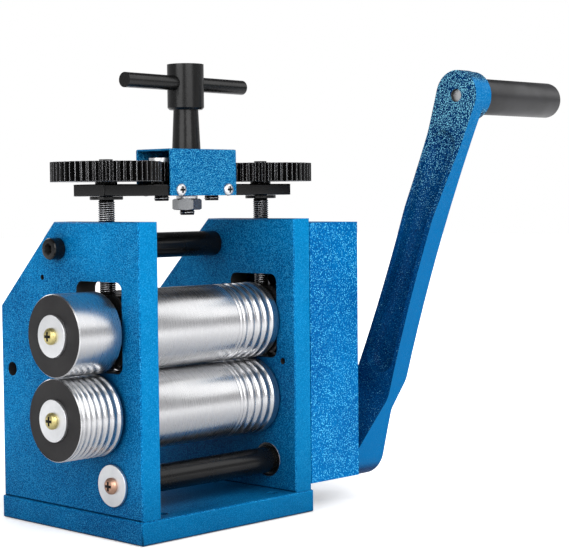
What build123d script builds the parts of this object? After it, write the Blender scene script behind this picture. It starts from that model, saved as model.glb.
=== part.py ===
from build123d import *
import os
from math import acos, atan2, cos, degrees, pi, radians, sin, sqrt, tan

# Jewellers rolling mill: two hardened rollers between heavy side plates, turned by a
# hand crank through a reduction gear, and opened by two geared pressure screws.
# Millimetres. Origin on the bench under the middle of the base, +X along the rollers
# towards the crank, +Y to the back, +Z up.

# ---------------------------------------------------------------- driving dimensions
# Frame
PLATE_SPACING = 112.5        # between the inner faces of the side plates
PLATE_THICK = 14.5
PLATE_DEPTH = 132.0
PLATE_HEIGHT = 171.5
PLATE_TOP_RUN = 78.0         # flat part of the top edge, from the front
PLATE_CHAMFER_DROP = 52.0    # height of the slope at the back of the top edge
PLATE_EDGE = 0.8             # broken edges of plates and base
BASE_THICK = 14.0
BASE_LEDGE = 1.0             # base stands proud of the plates
BENCH_HOLE_DIA = 7.0
BENCH_HOLE_INSET_X = 10.2    # from the plates' inner faces
BENCH_HOLE_INSET_Y = 12.3    # from the front and back of the base
TIE_ROD_DIA = 16.0
TIE_ROD_FROM_FRONT = 73.0
TIE_ROD_DROP = 16.0          # axis below the plates' top edge
TIE_SCREW_DIA = 8.0
TIE_SCREW_HEAD_DIA = 13.0
TIE_SCREW_HEAD_LONG = 8.0
TIE_SCREW_REACH = 14.0       # thread in the rod's end
PIN_HOLE_DIA = 3.2           # small hole high up at the back of the left plate
PIN_HOLE_FROM_FRONT = 89.5
PIN_HOLE_HEIGHT = 151.9
REAR_HOLE_DIA = 8.6
REAR_HOLE_FROM_FRONT = 121.3
REAR_HOLE_HEIGHT = 94.2
GUIDE_HOLE_DIA = 4.0         # blind hole in the right plate, beside the roll gap
GUIDE_HOLE_DEEP = 8.0
GUIDE_HOLE_FROM_FRONT = 10.6
GUIDE_HOLE_HEIGHT = 96.1

# Rollers
ROLLER_DIA = 48.0
ROLLER_FROM_FRONT = 36.3     # roller axes behind the plates' front edges
LOWER_ROLLER_HEIGHT = 72.8
ROLL_GAP = 0.4               # between the rollers as the mill stands
ROLLER_END_GAP = 1.0         # roller body to side plate
FIRST_GROOVE_X = 20.0
FINE_GROOVES = 2
FINE_GROOVE_PITCH = 2.9
FINE_GROOVE_DEEP = 0.6
WIDE_GROOVES = 4
WIDE_GROOVE_PITCH = 6.1
WIDE_GROOVE_DEEP = 1.0
JOURNAL_DIA = 24.0
BUSH_WALL = 3.0
SEAT_DIA = 18.0              # roller ends that carry side rollers and gears
KEY_SIZE = 5.0
KEY_END = 2.0                # keys stop this short of the hub they drive

# Side rollers outside the left plate
SIDE_ROLLER_LONG = 31.0
SIDE_ROLLER_GAP = 2.6        # side roller to the plate's outer face
SIDE_GROOVE_INSET = 0.6      # first groove from the ring's outer face
SIDE_GROOVES = 7
SIDE_GROOVE_FIRST = 2.9      # pitch of the narrowest groove, at the outer end
SIDE_GROOVE_STEP = 0.4       # each next groove is wider by this
SIDE_GROOVE_DEEP = 0.9
END_WASHER_DIA = 24.6
END_WASHER_THICK = 1.8
WASHER_BORE = 5.6
END_FLOAT = 0.5              # shaft end stops short of the washer

# Gears
PRESSURE_ANGLE = 25.0
BACKLASH = 0.25
REDUCTION_MODULE = 2.0
PINION_TEETH = 12
REDUCTION_TEETH = 30
REDUCTION_WIDE = 14.0
SYNC_TEETH = 12
SYNC_ADDENDUM = 1.1          # long teeth stay in mesh while the rollers part
SYNC_WIDE = 16.0
SYNC_FROM_PLATE = 3.5
GEAR_SPACING = 3.0           # between the two gears on the lower roller
CIRCLIP_THICK = 1.2
CIRCLIP_WALL = 3.0
CIRCLIP_OPENING = 60.0       # degrees

# Drive shaft
SHAFT_DIA = 16.4
SHAFT_AHEAD = 11.5           # drive axis in front of the roller axes
SHAFT_END_DIA = 13.0
SHAFT_BUSH_WALL = 2.6
SHAFT_KEY = 4.0
SHAFT_LEFT_FLOAT = 0.3

# Gear case
CASE_ROOM = 6.5              # lower roller's gears to the wall outside them
CASE_WALL = 3.0
CASE_DROP = 2.9              # below the plates' top edge
CASE_LIFT = 3.7              # above the base's top face
CASE_EDGE = 1.2
CASE_POST_DIA = 10.0
CASE_BOSS_WALL = 4.5         # round the crank's bush
CASE_BOSS_HIGH = 3.5
CASE_POST_CORNER_Y = 5.5    # post axis from the case's front and back
CASE_POST_CORNER_Z = 6.3    # post axis from the case's bottom and top
CASE_POST_KNEE = 4.0        # upper back post below the foot of the slope

# Pressure gear and bearing blocks
WINDOW_WIDE = 41.2
WINDOW_BELOW = 3.0           # under a block at rest
WINDOW_SPARE = 0.7           # left above a block at full lift
WINDOW_CORNER = 5.0
BLOCK_ABOVE = 21.8           # top of a block above the upper roller's axis
BLOCK_BELOW = 20.5
BLOCK_CORNER = 5.5
PRESS_TRAVEL = 7.0           # how far the upper roller lifts
SPRING_DIA = 8.0
SPRING_POCKET_PLATE = 6.0
SPRING_POCKET_BLOCK = 4.0
SCREW_DIA = 8.0              # pressure screws, idler bolts and handle spindle
TRAIN_MODULE = 1.25
HANDLE_TEETH = 14
IDLER_TEETH = 19
SCREW_GEAR_TEETH = 50
TRAIN_WIDE = 11.6
TRAIN_HUB_DIA = 13.0
TRAIN_HUB_HIGH = 1.4
SCREW_FLATS = 6.6            # across the flats that drive the big gears
SCREW_STUB = 1.4             # pressure screw above its gear
BAR_HALF_LONG = 77.0
BAR_DEEP = 28.6
BAR_THICK = 7.0
BAR_GAP = 14.9               # plates' top edge to the underside of the cross bar
BAR_EDGE = 0.4
COLLAR_DIA = 19.5
COLLAR_THICK = 2.0

# Bracket over the gear train
BRACKET_WIDE = 54.4
BRACKET_SHEET = 1.2
BRACKET_HIGH = 28.0
IDLER_HEAD_DIA = 15.0
IDLER_HEAD_HIGH = 2.5
IDLER_BOLT_TAIL = 3.0        # end below the bar

# Handle on top
HANDLE_TURN = 5.6            # rest angle of the cross handle, degrees about +Z
HEAD_DIA = 22.3
STEM_LONG = 24.0
HEAD_LONG = 27.5
HEAD_CHAMFER = 1.2
NECK_DIA = 14.0
STEM_TOP_DIA = 15.2
STEM_FOOT_DIA = 17.4
SPINDLE_SEAT_DIA = 10.5
CROSS_DIA = 9.0
CROSS_HALF_LONG = 53.3
CROSS_DROP = 11.7            # cross bar's axis below the head's top
NUT_FLATS = 15.6
NUT_HIGH = 6.8
NUT_WASHER_DIA = 13.0
NUT_WASHER_THICK = 1.8
SPINDLE_TAIL = 3.0           # thread below the nut

# Crank
CRANK_REACH = 243.7          # drive axis to grip axis
CRANK_LEAN = 19.6            # leans to the front, degrees from upright
HUB_R = 20.0
HUB_GAP = 1.2                # hub to gear case
HUB_LONG = 28.5
ARM_INNER_X = 140.5          # face of the arm that looks at the mill
ARM_OUTER_X = 155.5
ARM_TIP_X = 146.0            # same face, where the arm thins at its tip
ARM_THIN_FROM = 165.0        # along the arm
ARM_THIN_TO = 215.0
ARM_JOG_FROM = 5.0
ARM_JOG_TO = 41.0
ARM_JOG_OUT_FROM = 33.0
ARM_JOG_OUT_TO = 53.0
ARM_TIP_R = 16.0
ARM_WAIST = 12.0             # half width at the waist
ARM_EDGE = 1.2
ARM_SPARE = 5.0              # cutting shapes run this far past the arm
DISH_FROM = 54.0
DISH_TO = 221.0
DISH_RIM = 3.6               # metal left beside the dish
DISH_FLOOR = 6.0             # web behind the dish
DISH_ROUND = 6.0
BOSS_R = 15.5
BOSS_HIGH = 8.0
SPINDLE_DIA = 8.0
SPINDLE_SHY = 2.5            # spindle end below the arm's inner face
GRIP_DIA = 23.0
GRIP_LONG = 82.0
GRIP_GAP = 1.0               # boss to grip
GRIP_ROUND = 7.0
GRIP_RECESS_DIA = 15.0
GRIP_RECESS_DEEP = 9.0
SPINDLE_HEAD_DIA = 13.0
SPINDLE_HEAD_HIGH = 5.0

# Clearances
RUNNING = 0.05               # radial, shaft in bush
SEATED = 0.03                # radial, hub on shaft and thread in hole
BOLT_CLEAR = 0.25            # radial, bolt through a plain hole
SLIDE_CLEAR = 0.12           # bearing block to window, each side
FACE_CLEAR = 0.1             # faces that turn past each other
KEY_CLEAR = 0.04
SPRING_ROOM = 0.2            # radial, spring in its pocket

# ------------------------------------------------------------------- derived places
PLATE_IN = PLATE_SPACING / 2
PLATE_OUT = PLATE_IN + PLATE_THICK
PLATE_FRONT = -PLATE_DEPTH / 2
PLATE_BACK = PLATE_DEPTH / 2
PLATE_TOP = BASE_THICK + PLATE_HEIGHT
TIE_ROD_HEIGHT = PLATE_TOP - TIE_ROD_DROP
BASE_HALF_X = PLATE_OUT + BASE_LEDGE
BASE_HALF_Y = PLATE_DEPTH / 2 + BASE_LEDGE
ROLLER_Y = PLATE_FRONT + ROLLER_FROM_FRONT
ROLLER_R = ROLLER_DIA / 2
UPPER_ROLLER_HEIGHT = LOWER_ROLLER_HEIGHT + ROLLER_DIA + ROLL_GAP
ROLLER_END = PLATE_IN - ROLLER_END_GAP
JOURNAL_R = JOURNAL_DIA / 2
BUSH_R = JOURNAL_R + RUNNING + BUSH_WALL
SEAT_R = SEAT_DIA / 2

REDUCTION_CENTRES = REDUCTION_MODULE * (PINION_TEETH + REDUCTION_TEETH) / 2
SHAFT_Y = ROLLER_Y - SHAFT_AHEAD
SHAFT_HEIGHT = LOWER_ROLLER_HEIGHT - sqrt(REDUCTION_CENTRES ** 2 - SHAFT_AHEAD ** 2)
SHAFT_R = SHAFT_DIA / 2
SHAFT_END_R = SHAFT_END_DIA / 2
SHAFT_BUSH_R = SHAFT_R + RUNNING + SHAFT_BUSH_WALL
SYNC_MODULE = (ROLLER_DIA + ROLL_GAP) / SYNC_TEETH
SYNC_X = PLATE_OUT + SYNC_FROM_PLATE
REDUCTION_X = SYNC_X + SYNC_WIDE + GEAR_SPACING
REDUCTION_END = REDUCTION_X + REDUCTION_WIDE

CASE_OUT = REDUCTION_END + CASE_ROOM + CASE_WALL
CASE_WIDE = CASE_OUT - PLATE_OUT
CASE_TOP = PLATE_TOP - CASE_DROP
CASE_BOTTOM = BASE_THICK + CASE_LIFT
CASE_INNER_X = CASE_OUT - CASE_WALL
HUB_X = CASE_OUT + HUB_GAP
HUB_END = HUB_X + HUB_LONG

SIDE_INNER_X = PLATE_OUT + SIDE_ROLLER_GAP
SIDE_OUTER_X = SIDE_INNER_X + SIDE_ROLLER_LONG

TRAIN_A = TRAIN_MODULE * (HANDLE_TEETH + IDLER_TEETH) / 2
TRAIN_B = TRAIN_MODULE * (IDLER_TEETH + SCREW_GEAR_TEETH) / 2
SCREW_X = TRAIN_A + TRAIN_B
SCREW_R = SCREW_DIA / 2
BAR_HEIGHT = PLATE_TOP + BAR_GAP
BAR_TOP = BAR_HEIGHT + BAR_THICK
TRAIN_Z = BAR_TOP + FACE_CLEAR + TRAIN_HUB_HIGH
TRAIN_TOP = TRAIN_Z + TRAIN_WIDE
BRACKET_TOP = BAR_HEIGHT + BRACKET_HIGH
HEAD_BOTTOM = BRACKET_TOP + FACE_CLEAR + STEM_LONG
HEAD_TOP = HEAD_BOTTOM + HEAD_LONG
CROSS_HEIGHT = HEAD_TOP - CROSS_DROP
BLOCK_TOP = UPPER_ROLLER_HEIGHT + BLOCK_ABOVE
BLOCK_BOTTOM = UPPER_ROLLER_HEIGHT - BLOCK_BELOW
WINDOW_BOTTOM = BLOCK_BOTTOM - WINDOW_BELOW
SPRING_FOOT = WINDOW_BOTTOM - SPRING_POCKET_PLATE
WINDOW_TOP = BLOCK_TOP + PRESS_TRAVEL + WINDOW_SPARE

ARM_SPIN = radians(CRANK_LEAN)
GRIP_Y = SHAFT_Y - CRANK_REACH * sin(ARM_SPIN)
GRIP_HEIGHT = SHAFT_HEIGHT + CRANK_REACH * cos(ARM_SPIN)
GRIP_X = ARM_OUTER_X + BOSS_HIGH + GRIP_GAP
GRIP_END = GRIP_X + GRIP_LONG

LOW = (Align.CENTER, Align.CENTER, Align.MIN)


# ---------------------------------------------------------------------- shape helpers
def disc(radius, bottom, top):
    """Round bar on the local Z axis, between two heights."""
    return Pos(0, 0, bottom) * Cylinder(radius, top - bottom, align=LOW)


def block(x, y, z):
    """Box between pairs of limits along X, Y and Z."""
    middle = [(low + high) / 2 for low, high in (x, y, z)]
    return Pos(*middle) * Box(x[1] - x[0], y[1] - y[0], z[1] - z[0])


def along_x(shape, y, z, x=0.0):
    """Turn a shape from the local Z axis to an axis along +X at (y, z)."""
    return Pos(x, y, z) * Rot(0, 90, 0) * shape


def turned(start, moves):
    """Solid of revolution about local Z. Points are (z, radius); a move of two points is
    an arc through the first to the second."""
    here = (start[1], 0, start[0])
    edges = [Line((0, 0, start[0]), here)] if start[1] else []
    for move in moves:
        target = move[-1] if isinstance(move[0], tuple) else move
        there = (target[1], 0, target[0])
        if isinstance(move[0], tuple):
            edges.append(ThreePointArc(here, (move[0][1], 0, move[0][0]), there))
        else:
            edges.append(Line(here, there))
        here = there
    if here[0]:
        edges.append(Line(here, (0, 0, here[2])))
    edges.append(Line((0, 0, here[2]), (0, 0, start[0])))
    return revolve(make_face(Curve() + edges), Axis.Z)


def grooves(z, radius, pitches, depth_of):
    """Moves that turn one V groove per pitch into a cylinder."""
    moves = [(z, radius)]
    for pitch in pitches:
        moves += [(z + pitch / 2, radius - depth_of(pitch)), (z + pitch, radius)]
        z += pitch
    return moves


def hexagon(across, bottom, top):
    """Hexagonal prism on the local Z axis."""
    return Pos(0, 0, bottom) * extrude(RegularPolygon(across / 2, 6, major_radius=False), top - bottom)


def gear(teeth, module, wide, addendum=1.0, root_r=None, steps=1):
    """Spur gear on the local Z axis with involute flanks and one tooth towards +X."""
    pitch_r = module * teeth / 2
    angle = radians(PRESSURE_ANGLE)
    base_r = pitch_r * cos(angle)
    tip_r = pitch_r + addendum * module
    root_r = root_r or pitch_r - 1.25 * module
    half_tooth = (pi * module / 2 - BACKLASH) / (2 * pitch_r)

    def half_angle(radius):
        roll = acos(min(1.0, base_r / radius))
        return half_tooth + tan(angle) - angle - (tan(roll) - roll)

    foot = max(root_r, base_r)
    radii = [foot + (tip_r - foot) * i / steps for i in range(steps + 1)]
    flank = [(r, half_angle(r)) for r in radii]
    if root_r < base_r:
        flank.insert(0, (root_r, half_angle(base_r)))
    points = []
    for tooth in range(teeth):
        centre = 2 * pi * tooth / teeth
        points += [(r * cos(centre - a), r * sin(centre - a)) for r, a in flank]
        points += [(r * cos(centre + a), r * sin(centre + a)) for r, a in reversed(flank)]
    return extrude(make_face(Polyline(*points, close=True)), wide)


def keyed(shape, radius, low, high, size=KEY_SIZE):
    """Cut the keyway for a key at local +X of a shaft of this radius."""
    return shape - key(radius, low - KEY_CLEAR, high + KEY_CLEAR, size + 2 * KEY_CLEAR)


def key(radius, low, high, size=KEY_SIZE):
    """Square key, half of it sunk in the shaft's +X side."""
    return block((radius - size / 2, radius + size / 2), (-size / 2, size / 2), (low, high))


def circlip(shaft_r, low):
    """Open retaining ring that grips a groove in a shaft on the local Z axis."""
    ring = disc(shaft_r + CIRCLIP_WALL, low, low + CIRCLIP_THICK)
    ring -= disc(shaft_r - CIRCLIP_WALL / 4 + SEATED, low - 1, low + CIRCLIP_THICK + 1)
    reach = 2 * (shaft_r + CIRCLIP_WALL)
    spread = reach * tan(radians(CIRCLIP_OPENING / 2))
    wedge = make_face(Polyline((0, 0), (-reach, spread), (-reach, -spread), close=True))
    return ring - Pos(0, 0, low - 1) * extrude(wedge, CIRCLIP_THICK + 2)


def circlip_groove(shaft_r, low):
    """Ring to cut from a shaft so that a circlip seats in it."""
    ring = disc(shaft_r + 1, low - SEATED, low + CIRCLIP_THICK + SEATED)
    return ring - disc(shaft_r - CIRCLIP_WALL / 4, low - 1, low + CIRCLIP_THICK + 1)


def cap_screw(dia, head_dia, head_high, long):
    """Cap screw, head below the local origin, thread towards +Z."""
    return disc(head_dia / 2, -head_high, 0) + disc(dia / 2, 0, long)


def washer(outer_dia, inner_dia, low, thick):
    """Flat ring on the local Z axis."""
    return disc(outer_dia / 2, low, low + thick) - disc(inner_dia / 2, low - 1, low + thick + 1)


# ------------------------------------------------------------------------------ frame
def plate_profile(low, top):
    """Side view of a plate, sloped at the back of its top edge."""
    slope = PLATE_CHAMFER_DROP / (PLATE_DEPTH - PLATE_TOP_RUN)
    knee = PLATE_FRONT + PLATE_TOP_RUN + (PLATE_TOP - top) / slope
    corners = [(PLATE_FRONT, low), (PLATE_BACK, low), (PLATE_BACK, PLATE_TOP - PLATE_CHAMFER_DROP),
               (knee, top), (PLATE_FRONT, top)]
    return make_face(Polyline(*[(0, y, z) for y, z in corners], close=True))


def bench_hole_places():
    x = PLATE_IN - BENCH_HOLE_INSET_X
    y = BASE_HALF_Y - BENCH_HOLE_INSET_Y
    return [(sx * x, sy * y) for sx in (-1, 1) for sy in (-1, 1)]


def plate_middle(side):
    return side * (PLATE_IN + PLATE_THICK / 2)


def base_plate():
    plate = block((-BASE_HALF_X, BASE_HALF_X), (-BASE_HALF_Y, BASE_HALF_Y), (0, BASE_THICK))
    plate = chamfer(plate.edges(), PLATE_EDGE)
    for x, y in bench_hole_places():
        plate -= Pos(x, y) * disc(BENCH_HOLE_DIA / 2, -1, BASE_THICK + 1)
    return plate


def side_plate(side):
    """Left (-1) or right (+1) plate with its window, bores and screw holes."""
    middle = plate_middle(side)
    inner = side * PLATE_IN
    low_x, high_x = min(inner, side * PLATE_OUT), max(inner, side * PLATE_OUT)
    plate = Pos(low_x, 0, 0) * extrude(plate_profile(BASE_THICK, PLATE_TOP), PLATE_THICK, dir=(1, 0, 0))
    plate = chamfer(plate.edges().filter_by(Axis.X, reverse=True), PLATE_EDGE)
    through = (low_x - 1, high_x + 1)

    window = Rectangle(WINDOW_WIDE, WINDOW_TOP - WINDOW_BOTTOM)
    window = fillet(window.vertices(), WINDOW_CORNER)
    window = Plane(origin=(low_x - 1, ROLLER_Y, (WINDOW_TOP + WINDOW_BOTTOM) / 2),
                   x_dir=(0, 1, 0), z_dir=(1, 0, 0)) * window
    plate -= extrude(window, PLATE_THICK + 2)

    plate -= along_x(disc(BUSH_R + SEATED, *through), ROLLER_Y, LOWER_ROLLER_HEIGHT)
    plate -= along_x(disc(SHAFT_BUSH_R + SEATED, *through), SHAFT_Y, SHAFT_HEIGHT)
    tie_y = PLATE_FRONT + TIE_ROD_FROM_FRONT
    plate -= along_x(disc(TIE_SCREW_DIA / 2 + BOLT_CLEAR, *through), tie_y, TIE_ROD_HEIGHT)
    screw_hole = disc(SCREW_R + RUNNING, WINDOW_TOP - 1, PLATE_TOP + 1)
    plate -= Pos(side * SCREW_X, ROLLER_Y, 0) * screw_hole
    pocket = disc(SPRING_DIA / 2 + SPRING_ROOM, SPRING_FOOT, WINDOW_BOTTOM + 1)
    plate -= Pos(middle, ROLLER_Y) * pocket
    if side < 0:
        for dia, ahead, high in ((PIN_HOLE_DIA, PIN_HOLE_FROM_FRONT, PIN_HOLE_HEIGHT),
                                 (REAR_HOLE_DIA, REAR_HOLE_FROM_FRONT, REAR_HOLE_HEIGHT)):
            plate -= along_x(disc(dia / 2, *through), PLATE_FRONT + ahead, high)
    else:
        blind = disc(GUIDE_HOLE_DIA / 2, low_x - 1, low_x + GUIDE_HOLE_DEEP)
        plate -= along_x(blind, PLATE_FRONT + GUIDE_HOLE_FROM_FRONT, GUIDE_HOLE_HEIGHT)
    return plate


def tie_rod():
    rod = disc(TIE_ROD_DIA / 2, -PLATE_IN, PLATE_IN)
    for end in (-1, 1):
        low, high = sorted((end * (PLATE_IN - TIE_SCREW_REACH - 2), end * (PLATE_IN + 1)))
        rod -= disc(TIE_SCREW_DIA / 2 + SEATED, low, high)
    return along_x(rod, PLATE_FRONT + TIE_ROD_FROM_FRONT, TIE_ROD_HEIGHT)


def tie_rod_screws():
    screw = cap_screw(TIE_SCREW_DIA, TIE_SCREW_HEAD_DIA, TIE_SCREW_HEAD_LONG, PLATE_THICK + TIE_SCREW_REACH)
    y = PLATE_FRONT + TIE_ROD_FROM_FRONT
    left = Pos(-PLATE_OUT, y, TIE_ROD_HEIGHT) * Rot(0, 90, 0) * screw
    right = Pos(PLATE_OUT, y, TIE_ROD_HEIGHT) * Rot(0, -90, 0) * screw
    return [left, right]


def bush(side, outer_r, inner_r, y, height):
    """Bronze sleeve through a side plate or a bearing block."""
    low, high = sorted((side * PLATE_IN, side * PLATE_OUT))
    return along_x(disc(outer_r, low, high) - disc(inner_r, low - 1, high + 1), y, height)


def roller_bushes(height):
    return [bush(side, BUSH_R, JOURNAL_R + RUNNING, ROLLER_Y, height) for side in (-1, 1)]


def shaft_bushes():
    return [bush(side, SHAFT_BUSH_R, SHAFT_R + RUNNING, SHAFT_Y, SHAFT_HEIGHT) for side in (-1, 1)]


# --------------------------------------------------------------------------- gear case
def case_post_places():
    """Axes of the four screw posts in the gear case."""
    front = PLATE_FRONT + CASE_POST_CORNER_Y
    back = PLATE_BACK - CASE_POST_CORNER_Y
    low = CASE_BOTTOM + CASE_POST_CORNER_Z
    knee = PLATE_TOP - PLATE_CHAMFER_DROP
    return [(front, low), (front, CASE_TOP - CASE_POST_CORNER_Z), (back, low), (back, knee - CASE_POST_KNEE)]


def gear_case():
    """Cover over the gears, closed at the front, top, back and outside, open below."""
    outline = plate_profile(CASE_BOTTOM, CASE_TOP)
    shell = extrude(outline, CASE_WIDE, dir=(1, 0, 0))
    shell = chamfer(shell.faces().sort_by(Axis.X)[-1].edges(), CASE_EDGE)
    inside = offset(plate_profile(CASE_BOTTOM - 2 * CASE_WALL, CASE_TOP), -CASE_WALL, kind=Kind.INTERSECTION)
    shell -= Pos(-1, 0, 0) * extrude(inside, CASE_WIDE - CASE_WALL + 1, dir=(1, 0, 0))
    for y, z in case_post_places():
        post = disc(CASE_POST_DIA / 2, 0, CASE_WIDE - CASE_WALL / 2)
        shell += along_x(post, y, z) & extrude(outline, CASE_WIDE, dir=(1, 0, 0))
    boss = disc(SHAFT_BUSH_R + CASE_BOSS_WALL, CASE_WIDE - CASE_WALL - CASE_BOSS_HIGH, CASE_WIDE - CASE_WALL / 2)
    shell += along_x(boss, SHAFT_Y, SHAFT_HEIGHT) & extrude(outline, CASE_WIDE, dir=(1, 0, 0))
    shell -= along_x(disc(SHAFT_BUSH_R + SEATED, 0, CASE_WIDE + 1), SHAFT_Y, SHAFT_HEIGHT)
    return Pos(PLATE_OUT, 0, 0) * shell


def case_bush():
    low = CASE_INNER_X - CASE_BOSS_HIGH
    bush = disc(SHAFT_BUSH_R, low, CASE_OUT) - disc(spacer_r() + RUNNING, low - 1, CASE_OUT + 1)
    return along_x(bush, SHAFT_Y, SHAFT_HEIGHT)


def spacer_r():
    return SHAFT_R + 0.2


# ----------------------------------------------------------------------------- rollers
def roller_grooves():
    fine = [FINE_GROOVE_PITCH] * FINE_GROOVES
    wide = [WIDE_GROOVE_PITCH] * WIDE_GROOVES
    return (grooves(FIRST_GROOVE_X, ROLLER_R, fine, lambda pitch: FINE_GROOVE_DEEP)
            + grooves(FIRST_GROOVE_X + sum(fine), ROLLER_R, wide, lambda pitch: WIDE_GROOVE_DEEP)[1:])


def roller(height, right_end, gear_ends):
    """Roller with its grooved body, journals and keyed seats, turned from one bar."""
    left_end = -(SIDE_OUTER_X - END_FLOAT)
    body = turned((left_end, SEAT_R), [
        (-SIDE_INNER_X, SEAT_R), (-SIDE_INNER_X, JOURNAL_R),
        (-ROLLER_END, JOURNAL_R), (-ROLLER_END, ROLLER_R), *roller_grooves(), (ROLLER_END, ROLLER_R),
        (ROLLER_END, JOURNAL_R), (SYNC_X, JOURNAL_R), (SYNC_X, SEAT_R), (right_end, SEAT_R)])
    body = keyed(body, SEAT_R, *side_key_span())
    body = keyed(body, SEAT_R, SYNC_X + KEY_END, gear_ends - KEY_END)
    body -= circlip_groove(SEAT_R, gear_ends)
    return along_x(body, ROLLER_Y, height)


def side_key_span():
    return -SIDE_OUTER_X + KEY_END + END_FLOAT, -SIDE_INNER_X - KEY_END


def upper_gear_end():
    return SYNC_X + SYNC_WIDE


def side_roller(height, grooved):
    """Ring keyed to the roller's end outside the left plate."""
    moves = [(-SIDE_OUTER_X, ROLLER_R)]
    if grooved:
        pitches = [SIDE_GROOVE_FIRST + i * SIDE_GROOVE_STEP for i in range(SIDE_GROOVES)]
        moves = grooves(-SIDE_OUTER_X + SIDE_GROOVE_INSET, ROLLER_R, pitches, lambda pitch: SIDE_GROOVE_DEEP)
        moves.insert(0, (-SIDE_OUTER_X, ROLLER_R))
    ring = turned((-SIDE_OUTER_X, ROLLER_R), moves[1:] + [(-SIDE_INNER_X, ROLLER_R)])
    ring -= disc(SEAT_R + SEATED, -SIDE_OUTER_X - 1, -SIDE_INNER_X + 1)
    ring = keyed(ring, SEAT_R, -SIDE_OUTER_X - 1, -SIDE_INNER_X + 1)
    return along_x(ring, ROLLER_Y, height)


def end_washer(height, y, face):
    """Big washer that holds a side roller or the drive shaft, left of a face."""
    return along_x(washer(END_WASHER_DIA, WASHER_BORE, face - END_WASHER_THICK, END_WASHER_THICK), y, height)


def roller_keys(height, gear_end):
    keys = [key(SEAT_R, *side_key_span()), key(SEAT_R, SYNC_X + KEY_END, gear_end - KEY_END)]
    return [along_x(one, ROLLER_Y, height) for one in keys]


def roller_circlip(height, gear_end):
    return along_x(circlip(SEAT_R, gear_end), ROLLER_Y, height)


def facing(dy, dz):
    """Angle that turns a gear's first tooth towards (dy, dz) once it lies along X."""
    return degrees(atan2(dy, -dz))


def sync_gear(height, towards, between):
    """Long-toothed gear that turns one roller with the other. A tooth, or a gap between
    two teeth, points at the other gear."""
    mate_tip = ROLLER_R + ROLL_GAP / 2 + SYNC_ADDENDUM * SYNC_MODULE
    root_r = ROLLER_DIA + ROLL_GAP - mate_tip - 0.4
    wheel = gear(SYNC_TEETH, SYNC_MODULE, SYNC_WIDE, SYNC_ADDENDUM, root_r)
    spin = facing(0, towards) + (180 / SYNC_TEETH if between else 0)
    wheel = Pos(0, 0, SYNC_X) * Rot(0, 0, spin) * wheel
    wheel -= disc(SEAT_R + SEATED, SYNC_X - 1, SYNC_X + SYNC_WIDE + 1)
    wheel = keyed(wheel, SEAT_R, SYNC_X - 1, SYNC_X + SYNC_WIDE + 1)
    return along_x(wheel, ROLLER_Y, height)


def reduction_gear():
    wheel = gear(REDUCTION_TEETH, REDUCTION_MODULE, REDUCTION_WIDE)
    spin = facing(-SHAFT_AHEAD, SHAFT_HEIGHT - LOWER_ROLLER_HEIGHT) + 180 / REDUCTION_TEETH
    wheel = Pos(0, 0, REDUCTION_X) * Rot(0, 0, spin) * wheel
    hub = disc(SEAT_R + 5, SYNC_X + SYNC_WIDE, REDUCTION_X + 1)
    wheel += hub
    wheel -= disc(SEAT_R + SEATED, SYNC_X, REDUCTION_END + 1)
    wheel = keyed(wheel, SEAT_R, SYNC_X, REDUCTION_END + 1)
    return along_x(wheel, ROLLER_Y, LOWER_ROLLER_HEIGHT)


# -------------------------------------------------------------------------- drive shaft
def shaft_key_spans():
    """Key spans under the pinion and under the crank hub."""
    return ((REDUCTION_X + KEY_END, REDUCTION_END - KEY_END), (HUB_X + KEY_END, HUB_END - KEY_END - END_FLOAT))


def drive_shaft():
    left, right = -PLATE_OUT - SHAFT_LEFT_FLOAT, HUB_END - END_FLOAT
    shaft = disc(SHAFT_R, left, REDUCTION_X) + disc(SHAFT_END_R, REDUCTION_X, right)
    for low, high in shaft_key_spans():
        shaft = keyed(shaft, SHAFT_END_R, low, high, SHAFT_KEY)
    return along_x(shaft, SHAFT_Y, SHAFT_HEIGHT)


def drive_keys():
    return [along_x(key(SHAFT_END_R, low, high, SHAFT_KEY), SHAFT_Y, SHAFT_HEIGHT) for low, high in shaft_key_spans()]


def drive_pinion():
    wheel = gear(PINION_TEETH, REDUCTION_MODULE, REDUCTION_WIDE)
    spin = facing(SHAFT_AHEAD, LOWER_ROLLER_HEIGHT - SHAFT_HEIGHT)
    wheel = Pos(0, 0, REDUCTION_X) * Rot(0, 0, spin) * wheel
    wheel -= disc(SHAFT_END_R + SEATED, REDUCTION_X - 1, REDUCTION_END + 1)
    wheel = keyed(wheel, SHAFT_END_R, REDUCTION_X - 1, REDUCTION_END + 1, SHAFT_KEY)
    return along_x(wheel, SHAFT_Y, SHAFT_HEIGHT)


def drive_spacer():
    """Sleeve between pinion and crank hub, running in the case bush."""
    ring = washer(2 * spacer_r(), 2 * (SHAFT_END_R + SEATED), REDUCTION_END, HUB_X - REDUCTION_END)
    return along_x(ring, SHAFT_Y, SHAFT_HEIGHT)


def crank_end_washer():
    ring = washer(END_WASHER_DIA, WASHER_BORE, HUB_END, END_WASHER_THICK)
    return along_x(ring, SHAFT_Y, SHAFT_HEIGHT)


# ------------------------------------------------------------------------------- crank
def crank_plane(x):
    """Plane across the crank at x, its local Y running from the hub to the grip."""
    return Plane(origin=(x, SHAFT_Y, SHAFT_HEIGHT), x_dir=(0, cos(ARM_SPIN), sin(ARM_SPIN)), z_dir=(1, 0, 0))


def hollow_side(foot_at, foot_r, waist, tip_at, tip_r):
    """Radius and centre of the arc that hollows the side between two round ends, touching
    both and leaving a half width of waist."""
    def reach(radius):
        return sum(sqrt((r - waist) * (2 * radius + r + waist)) for r in (foot_r, tip_r))

    low, high = 0.0, (tip_at - foot_at) ** 2
    while high - low > 1e-6:
        radius = (low + high) / 2
        low, high = (radius, high) if reach(radius) < tip_at - foot_at else (low, radius)
    along = foot_at + sqrt((foot_r - waist) * (2 * radius + foot_r + waist))
    return radius, radius + waist, along


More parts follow.
